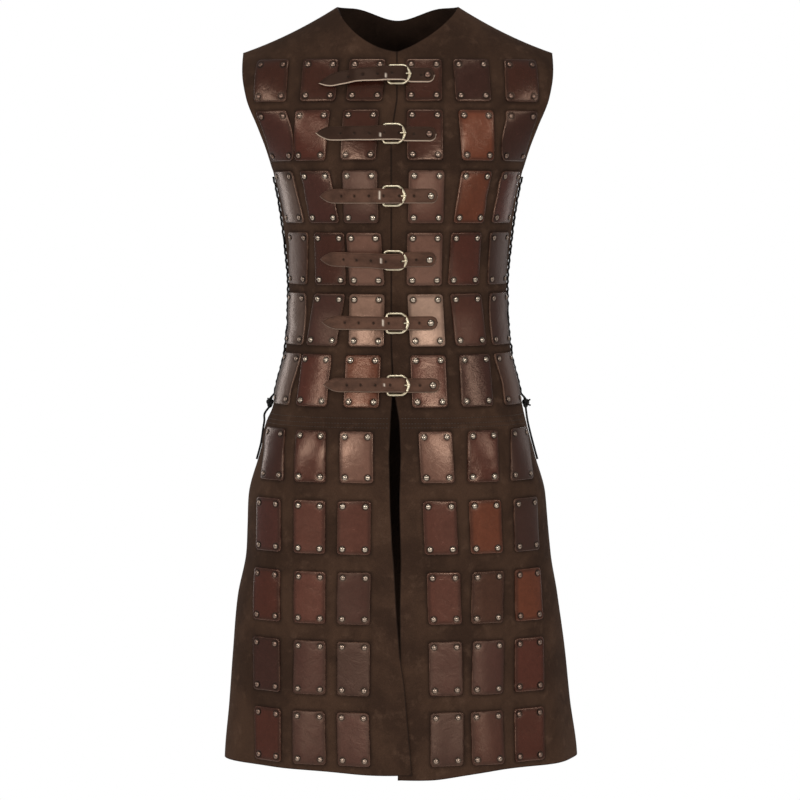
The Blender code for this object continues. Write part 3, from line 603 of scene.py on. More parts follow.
def plate_leather():
    """Hard leather, dyed unevenly and waxed, with pale edges that are partly wear and partly a painted
    highlight, darker towards its edges as a burnt edge and painted shade of the gaps, painted shade round the
    rivets, and pale tones that paint sheen on some plates.
    """
    finish = Finish("plate_leather", Specular_IOR_Level=0.8, Specular_Tint=WARM_SHINE)
    clouds = finish.noise(52, 5, 0.66, warp=0.7)
    strokes = finish.noise(90, 3, 0.55, (1, 1, 0.25))
    mottle = finish.noise(210, 4, 0.7)
    edge = finish.attribute("edge")
    # Pale edges: partly wear, partly a painted highlight on the rounded rims
    wear_and_painted_light = (1 - edge.step(0.3, 1.2)) * (clouds.step(0.4, 0.62) * 0.9 + 0.1)
    # Darker towards the edge: a burnt edge and painted shade of the gap round the plate
    burnt_and_shaded_edge = 1 - edge.step(1.6, 7.0)
    # Painted shade in the dimple round each rivet
    painted_contact_shade = 1 - finish.attribute("rivet").step(4.0, 6.8)
    amount = 0.34 + clouds * 0.6 + mottle * 0.35 + strokes * 0.1
    colour = finish.coat(
        # Dye of each plate; the pale ones paint highlights and the grey one a reflection
        finish.shade(finish.attribute("tone", "Color"), amount),
        (burnt_and_shaded_edge * 0.55, srgb(34, 18, 15)),
        (painted_contact_shade * 0.8, srgb(20, 12, 10)),
        (wear_and_painted_light * 0.4, srgb(134, 99, 80)),
    )
    rough = 0.16 + mottle * 0.12 + clouds * 0.06 + finish.attribute("tone", "Alpha") * 0.3
    grain = finish.bump(clouds, 0.001, 0.5, finish.bump(finish.cells(1350), 0.0001, 0.3))
    return finish.feed(Base_Color=colour, Roughness=rough, Normal=grain)


def strap_leather():
    """Mid-brown strap leather, satin, with paler cut edges, holes painted dark as shade, a painted highlight
    dash on the bend over the bar, and painted shade on the faces of the top straps.
    """
    finish = Finish("strap_leather", Specular_IOR_Level=0.4, Specular_Tint=WARM_SHINE)
    clouds = finish.noise(70, 4, 0.6, (0.5, 1, 1))
    mottle = finish.noise(420, 4, 0.7)
    edge = finish.attribute("edge")
    crease = edge.step(0.9, 1.5) - edge.step(1.5, 2.3)
    colour = finish.blend(clouds.step(0.3, 0.7), srgb(66, 44, 35), srgb(95, 66, 53))
    colour = finish.coat(
        finish.shade(colour, 0.75 + mottle * 0.5),
        (crease * 0.45, srgb(34, 22, 17)),
        # Painted shade on the faces of the top two straps
        (finish.attribute("oiled"), srgb(27, 13, 8)),
        ((1 - edge.step(0.05, 0.8)) * 0.25, srgb(124, 94, 76)),
        (finish.attribute("bare"), srgb(206, 182, 160)),
        # Painted highlight: the bright dash on the bend over the bar
        (finish.attribute("burnish") * 0.95, srgb(240, 222, 202)),
        # Painted shade: the shallow dented holes are painted nearly black
        (finish.attribute("hole"), srgb(12, 8, 6)),
    )
    grain = finish.bump(clouds - crease * 0.6, 0.0006, 0.6, finish.bump(finish.cells(1500), 0.0001, 0.35))
    return finish.feed(Base_Color=colour, Roughness=0.42 + mottle * 0.22, Normal=grain)


def antique_brass():
    """Brass, tarnished in clouds and polished where it is rubbed."""
    finish = Finish("antique_brass", Metallic=1.0)
    tarnish = finish.noise(160, 4, 0.65).step(0.45, 0.75)
    scratches = finish.noise(900, 2, 0.6, (1, 1, 0.3))
    colour = finish.blend(tarnish * 0.35, srgb(244, 230, 198), srgb(176, 148, 104))
    rough = 0.32 + tarnish * 0.1 + scratches * 0.06
    return finish.feed(Base_Color=colour, Roughness=rough, Normal=finish.bump(scratches, 0.00002, 0.3))


def rivet_metal():
    """Antiqued steel, worn bright at the dome's top, painted dark at its foot as the shade in its dimple, and
    painted brighter on the rivets that catch the lamps.
    """
    finish = Finish("rivet_metal", Metallic=1.0)
    spots = finish.noise(700, 3, 0.6)
    dome, shine = finish.attribute("dome"), finish.attribute("shine")
    # Painted light: a brighter head on rivets that catch the lamps, a darker one on the rest
    head = finish.blend(shine, srgb(124, 90, 77), srgb(200, 182, 162))
    # Painted shade: dark at the dome's foot, as the shadow in its dimple
    colour = finish.blend(dome.step(0.25, 0.9), srgb(26, 17, 14), head)
    colour = finish.shade(colour, 0.75 + spots * 0.5)
    rough = 0.28 + spots * 0.08 + (1 - dome) * 0.2 - shine * 0.12
    return finish.feed(Base_Color=colour, Roughness=rough, Normal=finish.bump(spots, 0.00008, 0.5))


def black_cord():
    """Round black cord with a twisted surface."""
    finish = Finish("black_cord", Roughness=0.75, Specular_IOR_Level=0.3)
    fibres = finish.noise(1100, 3, 0.7, (1, 1, 0.6))
    strands = {"Vector": finish.place(), "Scale": 190, "Distortion": 1.5}
    twist = finish.node("TexWave", {"bands_direction": "DIAGONAL"}, strands)
    colour = finish.blend(fibres, srgb(14, 13, 13), srgb(38, 35, 33))
    return finish.feed(Base_Color=colour, Normal=finish.bump(twist + fibres * 0.4, 0.0005, 0.8))


def waxed_thread():
    """Dark brown waxed thread."""
    finish = Finish("waxed_thread", Roughness=0.55)
    fibres = finish.noise(2200, 2, 0.6)
    colour = finish.blend(fibres, srgb(40, 29, 22), srgb(76, 57, 44))
    return finish.feed(Base_Color=colour, Normal=finish.bump(fibres, 0.0001, 0.6))


MATERIALS = {
    "soft_leather": soft_leather(),
    "plate_leather": plate_leather(),
    "strap_leather": strap_leather(),
    "brass": antique_brass(),
    "rivet_metal": rivet_metal(),
    "lace": black_cord(),
}
THREAD = waxed_thread()


# Panels of soft leather: the steps between their level lines on the bodice (True) and the skirt
# (False), and their columns, which are closer together at a half's two edges
LINE_STEPS = {True: 4.0, False: 4.2}
HALF_COLUMNS, COLUMN_GATHER = 56, 0.09
EVEN_SHARES = np.linspace(0, 1, HALF_COLUMNS)
COLUMN_SHARES = EVEN_SHARES - COLUMN_GATHER * np.sin(2 * math.pi * EVEN_SHARES)
YOKE_LINES, YOKE_GATHER = 26, 2.2
FAR = 99.0


def panel_name(face, sides, bodice):
    """The name of a panel's solid, with its side where the face has two panels."""
    words = ["bodice" if bodice else "skirt", FACE_WORDS[face]]
    return "_".join(words + [SIDE_WORDS[side] for side in sides if len(sides) == 1])


def first_arc(face, side, height):
    return front_edge(side, height) * side if face == FRONT else 0.0


def half_arcs(face, side, height, bodice):
    """Arcs of a half panel's columns at a height, from the inner edge out."""
    start = first_arc(face, side, height)
    return side * (start + (arc_end(face, height, bodice) - start) * COLUMN_SHARES)


def neck_height(face, x):
    """Height of the neckline over x."""
    share = np.minimum(1.0, np.abs(x) / NECK_HALF_WIDTH)
    if face == FRONT:
        straight = np.where(x > 0, FRONT_NECK_STRAIGHT[RIGHT], FRONT_NECK_STRAIGHT[LEFT])
        curved = 1 - (1 - share**2) ** FRONT_NECK_CURVE
        rise = SHOULDER_TOP - FRONT_NECK_HEIGHT
        return FRONT_NECK_HEIGHT + rise * (straight * share + (1 - straight) * curved)
    rise = SHOULDER_TOP - BACK_NECK_HEIGHT
    return BACK_NECK_HEIGHT + rise * ease(np.abs(x) / BACK_NECK_SCOOP)


def yoke_half(face, side):
    """Grid from the neckline and the shoulder seam down to the first plates' top."""
    arcs = half_arcs(face, side, YOKE_FOOT, True)
    foot = lie(face, side, arcs, YOKE_FOOT)[0]
    neck_arc = plate_middle(face, side, 1, YOKE_FOOT) - PLATE_WIDTHS[True] / 2
    out = np.abs(arcs)
    first = foot[0, 0] if face == FRONT else 0.0
    turn = np.clip((out - out[0]) / (neck_arc - out[0]), 0, 1)
    neck_x = first + (side * NECK_HALF_WIDTH - first) * np.sin(turn * math.pi / 2)
    way = np.clip((out - neck_arc) / (out[-1] - neck_arc), 0, 1)
    tip = level_value("half_width", ARMHOLE_TOP)
    shoulder_x = side * (NECK_HALF_WIDTH + (tip - NECK_HALF_WIDTH) * way)
    on_neck = out <= neck_arc
    top_x = np.where(on_neck, neck_x, shoulder_x)
    top = np.where(on_neck, neck_height(face, neck_x), shoulder_height(shoulder_x))
    share = 1 - np.linspace(0, 1, YOKE_LINES)[:-1, None] ** YOKE_GATHER
    x = foot[:, 0] + (top_x - foot[:, 0]) * share
    height = YOKE_FOOT + (top - YOKE_FOOT) * share
    depth = np.maximum(SEWN_GAP / 2, depth_at(face, x, height))
    depth[0] = np.where(on_neck, depth[0], SEWN_GAP / 2)
    return np.stack([x, face * depth, height], axis=-1)


def plate_place(side, number):
    """Place in a row, from the viewer's left, of a side's plate 0 to 2 from the body's middle."""
    return 3 + number if side == RIGHT else 2 - number


def plate_middle(face, side, number, height):
    """Arc of the middle of a side's plate number 0 to 2, counted from the body's middle."""
    if face == BACK:
        return BACK_MIDDLES[bool(np.max(height) > WAIST)][number] + np.zeros_like(height)
    place = plate_place(side, number)
    heights = [-end for row in FRONT_ROWS for end in (row.top, row.bottom)]
    arcs = [abs(line[place]) for row in FRONT_ROWS for line in (row.above, row.below)]
    return np.interp(-np.asarray(height, float), heights, arcs)


def plate_arc(face, side, number, height, bodice):
    """Arc of a plate's middle line, kept clear of the side edge."""
    limit = arc_end(face, height, bodice) - SIDE_MARGIN - PLATE_WIDTHS[bodice] / 2
    return side * np.minimum(plate_middle(face, side, number, height), limit)


def drooped(face, side, arcs, heights):
    """Heights along level lines of a panel, which sink towards the hem's front corners."""
    if face == BACK:
        return heights + 0 * arcs
    near = 1 - ease((np.abs(arcs) - HEM_DROOP_FLAT) / HEM_DROOP_REACH)
    return heights - HEM_DROOP[side] * near * ease((HEM_DROOP_FROM - heights) / (HEM_DROOP_FROM - HEM))


def plate_distance(face, side, arcs, heights, bodice):
    """Distance of each point from the nearest plate's edge, below 0 under the plate."""
    nearest = np.full(arcs.shape, FAR)
    for row in PLATE_ROWS[bodice]:
        beyond = np.maximum(heights - row.top, row.bottom - heights)
        for number in range(3):
            aside = np.abs(arcs - plate_arc(face, side, number, heights, bodice)) - PLATE_WIDTHS[bodice] / 2
            outside = np.hypot(np.maximum(aside, 0), np.maximum(beyond, 0))
            nearest = np.minimum(nearest, outside + np.minimum(np.maximum(aside, beyond), 0))
    return nearest


def half_panel(face, side, bodice):
    """Outer points of a half panel, from its top down and its inner edge out, and how far each
    lies from a plate."""
    top, foot = (YOKE_FOOT, WAIST + SEWN_GAP / 2) if bodice else (WAIST - SEWN_GAP / 2, HEM)
    levels = np.linspace(top, foot, round((top - foot) / LINE_STEPS[bodice]) + 1)[:, None]
    arcs = half_arcs(face, side, levels, bodice)
    heights = drooped(face, side, arcs, levels)
    grid = lie(face, side, arcs, heights)[0]
    distance = plate_distance(face, side, arcs, heights, bodice)
    if not bodice:
        return grid, distance
    yoke = yoke_half(face, side)
    above = np.hypot(yoke[..., 2] - top, np.maximum(distance[:1], 0))
    return np.concatenate([yoke, grid]), np.concatenate([above, distance])


def grid_normals(grid, face):
    """Outward unit normals of a grid of points."""
    down, across = np.gradient(grid, axis=0), np.gradient(grid, axis=1)
    normal = unit(np.cross(down, across))
    middle = tuple(n // 2 for n in grid.shape[:2])
    return normal if normal[middle][1] * face > 0 else -normal


def border_distance(grid, bodice):
    """Distance of each point from the panel's cut edges, which its waist isn't."""
    across, down = runs(grid, 1), runs(grid, 0)
    aside = np.minimum(across, across[:, -1:] - across)
    return np.minimum(aside, down if bodice else down[-1:] - down)


def make_panel(face, sides, bodice):
    """One cut panel of soft leather as a thin shell."""
    halves = [half_panel(face, side, bodice) for side in sides]
    grid, distance = halves[0]
    if len(halves) == 2:
        grid, distance = (np.concatenate([a[:, :0:-1], b], axis=1) for a, b in zip(*halves))
    inner = grid - grid_normals(grid, face) * WALL
    if bodice:
        yoke = inner[: YOKE_LINES - 1, :, 1]
        yoke[:] = face * np.maximum(SEWN_GAP / 2, face * yoke)
    border = border_distance(grid, bodice)
    name = panel_name(face, sides, bodice)
    panel = add_piece(
        f"{name}_suede", *closed_slab(grid, inner), "soft_leather", name, 50,
        border=np.append(border, border),
        inside=np.repeat((0.0, 1.0), border.size),
        plate=np.append(distance, np.full(distance.size, FAR)),
    )
    corners = grid[1:, 1:] - grid[:-1, :-1], grid[1:, :-1] - grid[:-1, 1:]


# Hard leather plates and their rivets: the rounding of edges and corners, where the lines of a
# plate's grid run, how far a plate bows and stands off, and its dip at the rim and at a rivet
ROUND, ROUND_SHARE, CORNER = 1.2, 0.9, 5.0
INSETS = (0, 0.4, 1.1, 2.1, 3.4, 5.0, 7.2, 9.6, 12.2, 15.6)
PLATE_LINE_STEP = 6.5
PLATE_BOW, UNDER_PLATE = 0.35, 0.12
RIM_DROP, RIM_REACH = 0.55, 5.0
DIMPLE, DIMPLE_REACH = 0.6, 4.6
RIVET_INSET = 7.6
RIVET_SEAT = PLATE - RIM_DROP * 0.2 - DIMPLE
RIVET_PROFILE = ((4.1, -0.6), (4.15, 0.1), (3.85, 0.75), (3.1, 1.4), (2.1, 1.85), (1.05, 2.1))
# The rivets' top and sides, and how much painted light the outermost plates' rivets keep
RIVET_TOP, RIVET_SIDES, SIDE_RIVET_PAINTED_LIGHT = 2.18, 14, 0.5
ALMOST_UP = (0.0, 0.3, 1.0)

# The dyes by letter, where t, p and l are pale tones that paint a highlight, g paints the grey
# reflection of the pale room and w is a paler maroon that partly paints sheen; how much lighter
# or darker a plate may be, and how dull a dull one is
DYES_AND_PAINTED_SHEEN = {
    "b": srgb(66, 38, 28),
    "r": srgb(76, 34, 26),
    "m": srgb(68, 33, 29),
    # w: a paler maroon, partly painted sheen
    "w": srgb(94, 53, 43),
    "d": srgb(52, 25, 22),
    "k": srgb(62, 28, 21),
    "o": srgb(106, 53, 34),
    # t, p and l: pale tones that paint highlights
    "t": srgb(120, 84, 70),
    "p": srgb(162, 124, 104),
    "l": srgb(190, 154, 132),
    # g: a grey tone that paints the grey reflection of the room
    "g": srgb(86, 69, 61),
}
DYE_LIGHT, DYE_SEED, DULL = (0.88, 1.12), 11, 0.4


def plate_lines(length):
    """Places across a plate's width or height, close together at its ends."""
    ends = length / 2 - np.array(INSETS)
    count = max(1, round(ends[-1] / PLATE_LINE_STEP))
    upper = np.append(ends, np.linspace(ends[-1], 0, count + 1)[1:-1])
    return np.concatenate([-upper, [0.0], upper[::-1]])


def plate_grid(width, height):
    """Local points of a plate with rounded corners, and each one's distance from its edge."""
    u, v = np.meshgrid(plate_lines(width), plate_lines(height))
    inset_u, inset_v = width / 2 - np.abs(u), height / 2 - np.abs(v)
    a, b = (np.clip((CORNER - inset) / CORNER, 0, 1) for inset in (inset_u, inset_v))
    most = np.maximum(a, b)
    shrink = most / np.maximum(np.hypot(a, b), 1e-9)
    in_corner = (a > 0) & (b > 0)
    u = np.where(in_corner, np.sign(u) * (width / 2 - CORNER + CORNER * a * shrink), u)
    v = np.where(in_corner, np.sign(v) * (height / 2 - CORNER + CORNER * b * shrink), v)
    return u, v, np.where(in_corner, CORNER * (1 - most), np.minimum(inset_u, inset_v))


def rivet_places(width, height):
    """The four rivets' places on a plate."""
    u, v = width / 2 - RIVET_INSET, height / 2 - RIVET_INSET
    return [(-u, -v), (u, -v), (u, v), (-u, v)]


def plate_relief(u, v, edge, width, height):
    """How far the plate's face stands out, rounded over at its edge and pressed in at rivets, and
    the distance from the nearest rivet."""
    near = np.clip(1 - edge / ROUND, 0, 1)
    rounded = ROUND * ROUND_SHARE * (1 - np.sqrt(1 - near**2))
    out = PLATE - rounded - RIM_DROP * np.exp(-edge / RIM_REACH)
    nearest = np.min([np.hypot(u - a, v - b) for a, b in rivet_places(width, height)], axis=0)
    return out - DIMPLE * np.exp(-((nearest / DIMPLE_REACH) ** 4)), nearest


def ring_stack(rings, across, up, sides, tips):
    """Points and faces of a small closed grain: rings, each a centre and a radius, and after them
    the tips that close the first and the last ring, where None is a flat cap."""
    turns = np.linspace(0, 2 * math.pi, sides, endpoint=False)
    rays = np.outer(np.cos(turns), across) + np.outer(np.sin(turns), up)
    points = [centre + ray * radius for centre, radius in rings for ray in rays]
    index = np.arange(len(points)).reshape(len(rings), sides)
    index = np.hstack([index, index[:, :1]])
    faces = quads(index)
    for ring, tip in zip(index[[0, -1]].tolist(), tips):
        if tip is None:
            faces.append(ring[:-1])
        else:
            faces += [[a, b, len(points)] for a, b in zip(ring, ring[1:])]
            points.append(tip)
    return points, faces


def dome(place, normal, size=1.0):
    """A rivet's domed head: its points, faces and each point's height on the dome."""
    across = unit(np.cross(normal, ALMOST_UP))
    rings = [(place + normal * out * size, radius * size) for radius, out in RIVET_PROFILE]
    tips = None, place + normal * RIVET_TOP * size
    points, faces = ring_stack(rings, across, np.cross(normal, across), RIVET_SIDES, tips)
    # Height on the dome, which the material paints dark at the foot as shade and bright at the worn top
    wear_and_painted_light = np.repeat([max(0.0, out / RIVET_TOP) for _, out in RIVET_PROFILE], RIVET_SIDES)
    return points, faces, np.append(wear_and_painted_light, 1.0)


class Heap:
    """Many small closed shapes gathered into one mesh."""

    def __init__(self):
        self.points, self.faces, self.values = [], [], {}

    def add(self, points, faces, **values):
        start = len(self.points)
        self.points.extend(points)
        self.faces.extend([[i + start for i in face] for face in faces])
        for label, numbers in values.items():
            self.values.setdefault(label, []).extend(numbers)

    def piece(self, name, slot, material=None):
        add_piece(name, self.points, self.faces, slot, material=material, **self.values)


def make_plates(face, sides, bodice):
    """A panel's plates and rivets, one mesh of each."""
    plates, rivets = Heap(), Heap()
    width = PLATE_WIDTHS[bodice]
    order = random.Random(DYE_SEED + face + 5 * bodice)
    for row in PLATE_ROWS[bodice]:
        tall, middle = row.top - row.bottom, (row.top + row.bottom) / 2
        u, v, edge = plate_grid(width, tall)
        relief, nearest = plate_relief(u, v, edge, width, tall)
        for side, number in product(sides, range(3)):
            letter = row.tones[plate_place(side, number)] if face == FRONT else order.choice(BACK_TONES)
            bow = order.uniform(-PLATE_BOW, PLATE_BOW) * (1 - (2 * u / width) ** 2)
            arcs = plate_arc(face, side, number, middle + v, bodice) + u
            layers = [lie(face, side, arcs, middle + v, out)[0] for out in (relief + bow, UNDER_PLATE)]
            dull = DULL if letter.isupper() else 0.0
            light = order.uniform(*DYE_LIGHT) * (1 - dull / 2)
            tone = (*(c * light for c in DYES_AND_PAINTED_SHEEN[letter.lower()][:3]), dull)
            plates.add(*closed_slab(*layers), tone=[tone] * 2 * edge.size, edge=np.append(edge, 0 * edge),
                       rivet=np.append(nearest, np.full(edge.size, FAR)))
            # Painted light: rivets on the outermost plates and on rows set lower are painted duller
            shine = row.shine * (SIDE_RIVET_PAINTED_LIGHT if number == 2 else 1)
            for place_u, place_v in rivet_places(width, tall):
                arc = plate_arc(face, side, number, middle + place_v, bodice) + place_u
                head, faces, wear_and_painted_light = dome(*lie(face, side, arc, middle + place_v, RIVET_SEAT))
                rivets.add(head, faces, dome=wear_and_painted_light, shine=[shine] * len(head))
    name = panel_name(face, sides, bodice)
    plates.piece(f"{name}_plates", "plate_leather")
    rivets.piece(f"{name}_rivets", "rivet_metal")


# Straps and chapes: the lines of their grid, their rounded edges and softened bends, the least
# share of their thickness or width at an end, the holes, painted dark as shade, the painted
# highlight dash on the bend over the bar, the bare lower edge, the rivet and the pointed tip
BAND_STEP, BAND_LINES, BAND_GATHER = 1.3, 19, 0.35
BAND_ROUND, BEND_SOFTNESS, LEAST_SHARE = 0.9, 5, 0.04
HOLE_PITCH, HOLE_RADIUS, HOLE_DEPTH = 20.0, 1.7, 1.3
HOLE_FLAT, HOLE_RIM = 0.75 * HOLE_RADIUS, 0.5 * HOLE_RADIUS
HOLE_NUMBERS, FIRST_HOLE, HOLE_SHIFT = range(-4, 2), 2.0, 1.5
DASH_AT, DASH_HALF, DASH_FADE = -3.4, 0.9, 1.5
BARE_EDGE, BARE_FADE = 0.7, 0.9
STRAP_RIVET_INSET, STRAP_RIVET_SHARE, STRAP_RIVET_SINK = 10.0, 1.2, 0.15
TAPER, TAPER_ROUND = 24.0, 0.8
SAG_BEND, CURL_RATE = 2.4, 2.5


def even_path(keys):
    """Places (arc, out) along a band at even steps, with its bends softened."""
    keys = np.array(keys, float)
    run = runs(keys, 0)
    steps = np.linspace(0, run[-1], round(run[-1] / BAND_STEP))
    arc, out = (np.interp(steps, run, keys[:, k]) for k in (0, 1))
    kernel = np.ones(BEND_SOFTNESS) / BEND_SOFTNESS
    pad = BEND_SOFTNESS // 2
    soft = [np.convolve(np.pad(v, pad, mode="edge"), kernel, "valid") for v in (arc, out)]
    for blurred, sharp in zip(soft, (arc, out)):
        blurred[0], blurred[-1] = sharp[0], sharp[-1]
    return steps, *soft


def make_band(node, middle, keys, half_width, thickness, tail=None, holes=(), rubbed=None, pale=0.0,
              oiled=0.0):
    """A flat strip of strap leather over the front.

    half_width is a function of the way along it. tail gives how far it sags at an arc, and how
    far its lower edge stands out there. The argument after holes gives the arc, middle and half
    length of a painted highlight line across it. pale is how clearly its lower cut edge shows, and
    the last argument how much painted shade darkens its face.
    """
    steps, arc, out = even_path(keys)
    along = unit(np.stack([np.gradient(arc), np.gradient(out)], axis=-1))
    half = half_width(steps, steps[-1])[:, None]
    even = np.linspace(-1, 1, BAND_LINES)
    up = (np.sin(even * math.pi / 2) * BAND_GATHER + even * (1 - BAND_GATHER)) * half
    edge = np.minimum(half - np.abs(up), np.minimum(steps, steps[-1] - steps)[:, None])
    near = np.clip(1 - edge / BAND_ROUND, 0, 1)
    thick = thickness / 2 * np.sqrt(np.maximum(LEAST_SHARE, 1 - near**2))
    arc, out = arc[:, None], out[:, None]
    sag, curl = tail(arc) if tail else (0.0, 0.0)
    # Holes are shallow dents, which the material paints dark as shade
    hole = np.zeros(up.shape)
    for place in holes:
        apart = np.hypot(arc - place, up)
        hole = np.maximum(hole, 1 - ease((apart - HOLE_FLAT) / HOLE_RIM))
    # Painted highlight: the bright dash across the strap on its bend over the bar
    burnish = np.zeros(up.shape)
    if rubbed:
        at, level, reach = rubbed
        burnish = 1 - ease((np.abs(up - level) - reach) / DASH_FADE)
        burnish = burnish * np.exp(-(((arc - at) / DASH_HALF) ** 2))
    bare = pale * (1 - ease((edge - BARE_EDGE) / BARE_FADE)) * (up < 0)
    layers = []
    for shift in (thick - hole * HOLE_DEPTH, -thick):
        lifted = out + curl * (1 - up / half) / 2 - along[:, :1] * shift
        layers.append(lie(FRONT, LEFT, arc + along[:, 1:] * shift, middle + up - sag, lifted)[0])
    add_piece(
        f"{node}_hide", *closed_slab(*layers), "strap_leather", node, 60,
        edge=np.append(edge, edge),
        hole=np.append(hole, 0 * hole),
        burnish=np.append(burnish, 0 * burnish),
        bare=np.append(bare, bare),
        oiled=np.full(2 * up.size, oiled),
    )


def strap_half(steps, length):
    """Half width of a strap: round at its riveted end, a soft point at its tip."""
    half = STRAP_WIDTH / 2
    round_end = np.sqrt(np.clip(1 - (1 - steps / half) ** 2, 0, 1)) * (steps < half) + (steps >= half)
    from_tip = np.clip((length - steps) / TAPER, 0, 1)
    point = np.sin(from_tip * math.pi / 2) ** TAPER_ROUND
    return half * np.maximum(LEAST_SHARE, np.minimum(round_end, point))


def chape_half(steps, length):
    """Half width of a chape, the same all along."""
    return np.full(len(steps), CHAPE_WIDTH / 2)


def make_strap(number, closure):
    """The strap, riveted to the right plate, over the buckle's bar to its pointed end."""
    core = STRAP_THICKNESS / 2 + closure.lift
    low = PLATE + AIR + core
    over = STRAP_OVER_BAR + core
    chape = PLATE + 2 * AIR + 2 * CHAPE_THICKNESS + CHAPE_GAP + core
    bar = closure.buckle + BAR_AT
    keys = (
        (closure.strap_end, low - 0.2),
        (closure.buckle + 22, low),
        (closure.buckle + 12, low),
        (closure.buckle + 9, low + 0.3),
        (closure.buckle + 2, over - 0.8),
        (closure.buckle - 4, over),
        (bar - 4, over),
        (bar - 16, chape + 1.2),
        (bar - 26, chape),
        (bar - CHAPE_LENGTH - 5, chape),
        (bar - CHAPE_LENGTH - 14, low + 0.6),
        (closure.tip + 16, low),
        (closure.tip, low + 0.3),
    )

    def tail(arc):
        share = np.clip((bar - arc) / (bar - closure.tip), 0, 1)
        return closure.sag * share**SAG_BEND, closure.curl * ease(share * CURL_RATE)

    holes = [closure.buckle * HOLE_SHIFT + FIRST_HOLE + HOLE_PITCH * k for k in HOLE_NUMBERS]
    make_band(f"strap_{number}", closure.height, keys, strap_half, STRAP_THICKNESS, tail, holes,
              (bar + DASH_AT, *closure.rubbed), closure.pale, closure.oiled)
    seat = lie(FRONT, RIGHT, closure.strap_end - STRAP_RIVET_INSET, closure.height,
               low + STRAP_THICKNESS / 2 - STRAP_RIVET_SINK)
    points, faces, wear_and_painted_light = dome(*seat, STRAP_RIVET_SHARE)
    # The rivet of a strap with painted face shade is painted darker too
    add_piece(f"strap_{number}_rivet", points, faces, "rivet_metal", dome=wear_and_painted_light,
              shine=[1 - closure.oiled] * len(points))


def make_chape(number, closure):
    """The folded leather that holds the buckle's bar."""
    bar = closure.buckle + BAR_AT
    fold = WIRE / 2 + GRIP_GAP + CHAPE_THICKNESS / 2
    under = PLATE + AIR + CHAPE_THICKNESS / 2 + closure.lift
    upper = under + CHAPE_THICKNESS + AIR
    level = BAR_OUT + closure.lift
    keys = [(bar - CHAPE_LENGTH, upper), (bar - 15, upper), (bar - 6, level + fold)]
    for degrees in range(95, -66, -20):
        turn = math.radians(degrees)
        keys.append((bar + fold * math.cos(turn), level + fold * math.sin(turn)))
    keys += [(bar - 2, level - fold), (bar - 6, under), (bar - 22, under)]
    make_band(f"chape_{number}", closure.height, keys, chape_half, CHAPE_THICKNESS)


# Buckles: the length of the toe's curve and its point, the thicker toe, the prong's steps, and
# how its thickness changes along it
TOE_SHARE, TOE_POINT, TOE_SWELL = 0.36, 1.5, 0.3
PRONG_STEPS = 44
PRONG_SHARES, PRONG_RADII = (0, 0.7, 1), (1, 1.05, 0.75)


def make_buckle(number, closure):
    """The horseshoe frame, with a soft point at its toe, and the prong on its straight bar."""
    bar = closure.buckle + BAR_AT
    bow = bar + FRAME_LENGTH
    centre = (bar + bow) / 2
    ends, (normal, _) = lie(FRONT, LEFT, [bar, bow], closure.height)
    normal = unit(normal + lie(FRONT, LEFT, bow, closure.height)[1])
    across = unit(ends[1] - ends[0])
    upward = unit(np.cross(across, normal))
    upward = upward * math.copysign(1, upward[2])

    def stand(arc, up, out):
        """A point of the stiff buckle, which doesn't bend with the leather under it."""
        return ends.mean(axis=0) + across * (arc - centre) + upward * up + normal * (out + closure.lift)

    reach, tall, cut = FRAME_LENGTH * TOE_SHARE, FRAME_HALF_HEIGHT, FRAME_CORNER * 0.3
    outline = [(bar, up) for up in np.linspace(-tall + FRAME_CORNER, tall - FRAME_CORNER, 12)]
    outline += [(bar + cut, tall - cut), (bar + FRAME_CORNER, tall)]
    outline += [(arc, tall) for arc in np.linspace(bar + FRAME_CORNER + 3, bow - reach - 2, 5)]
    for degrees in range(90, -91, -6):
        rise = math.sin(math.radians(degrees))
        outline.append((bow - reach + reach * math.sqrt(1 - abs(rise) ** TOE_POINT), tall * rise))
    outline += [(arc, -tall) for arc in np.linspace(bow - reach - 2, bar + FRAME_CORNER + 3, 5)]
    outline += [(bar + FRAME_CORNER, -tall), (bar + cut, -tall + cut)]
    points, radii = [], []
    for arc, up in outline:
        share = (arc - bar) / FRAME_LENGTH
        points.append(stand(arc, up, BAR_OUT + (BOW_OUT - BAR_OUT) * share))
        radii.append(1 + TOE_SWELL * max(0, share) ** 6)
    rod(f"buckle_{number}_frame", points, WIRE * WIRE_SHARE, "brass", f"buckle_frame_{number}", True, radii)

    grip = (WIRE + PRONG) / 2 + GRIP_GAP
    turns = [math.radians(a) for a in (-60, -110, -160, 150, 115)]
    route = [(bar + grip * math.cos(a), BAR_OUT + grip * math.sin(a)) for a in turns]
    rest = BOW_OUT + grip
    route += [(bar + 2, BAR_OUT + grip), (bar + 12, BAR_OUT + grip + 0.2)]
    route += [(bow - 9, rest - 0.9), (bow - 3, rest), (bow + 2.2, rest)]
    points = [stand(arc, 0.0, out) for arc, out in through(route, PRONG_STEPS)]
    radii = np.interp(np.linspace(0, 1, PRONG_STEPS), PRONG_SHARES, PRONG_RADII)
    rod(f"buckle_{number}_prong", points, PRONG * WIRE_SHARE, "brass", f"buckle_prong_{number}", False, radii)


# Side laces: the loops of the knots, the stubs by their tips, and how far out the hanging ends
# bow at shares of their way
KNOT_TURNS, KNOT_CORD, KNOT_PLUMP = 60, 4.9, 0.6
STUB_SHARE, STUB_STEPS, LACE_END_STEPS = 0.8, 9, 41
KNOT_STUBS = {LEFT: ((3.5, 8.0), (-3.0, 7.0)), RIGHT: ((6.5, 5.0), (7.0, -3.5), (-2.5, 7.5))}
LACE_END_SHARES = (0.14, 0.27, 0.42, 0.7, 1.0)
LACE_END_BOW = {LEFT: (6.0, 2.2, 0.4, 0.2, 0.2), RIGHT: (1.6, 0.8, 0.4, 0.2, 0.2)}
LACE_OFF, LACE_HUMP = 0.3, 0.2


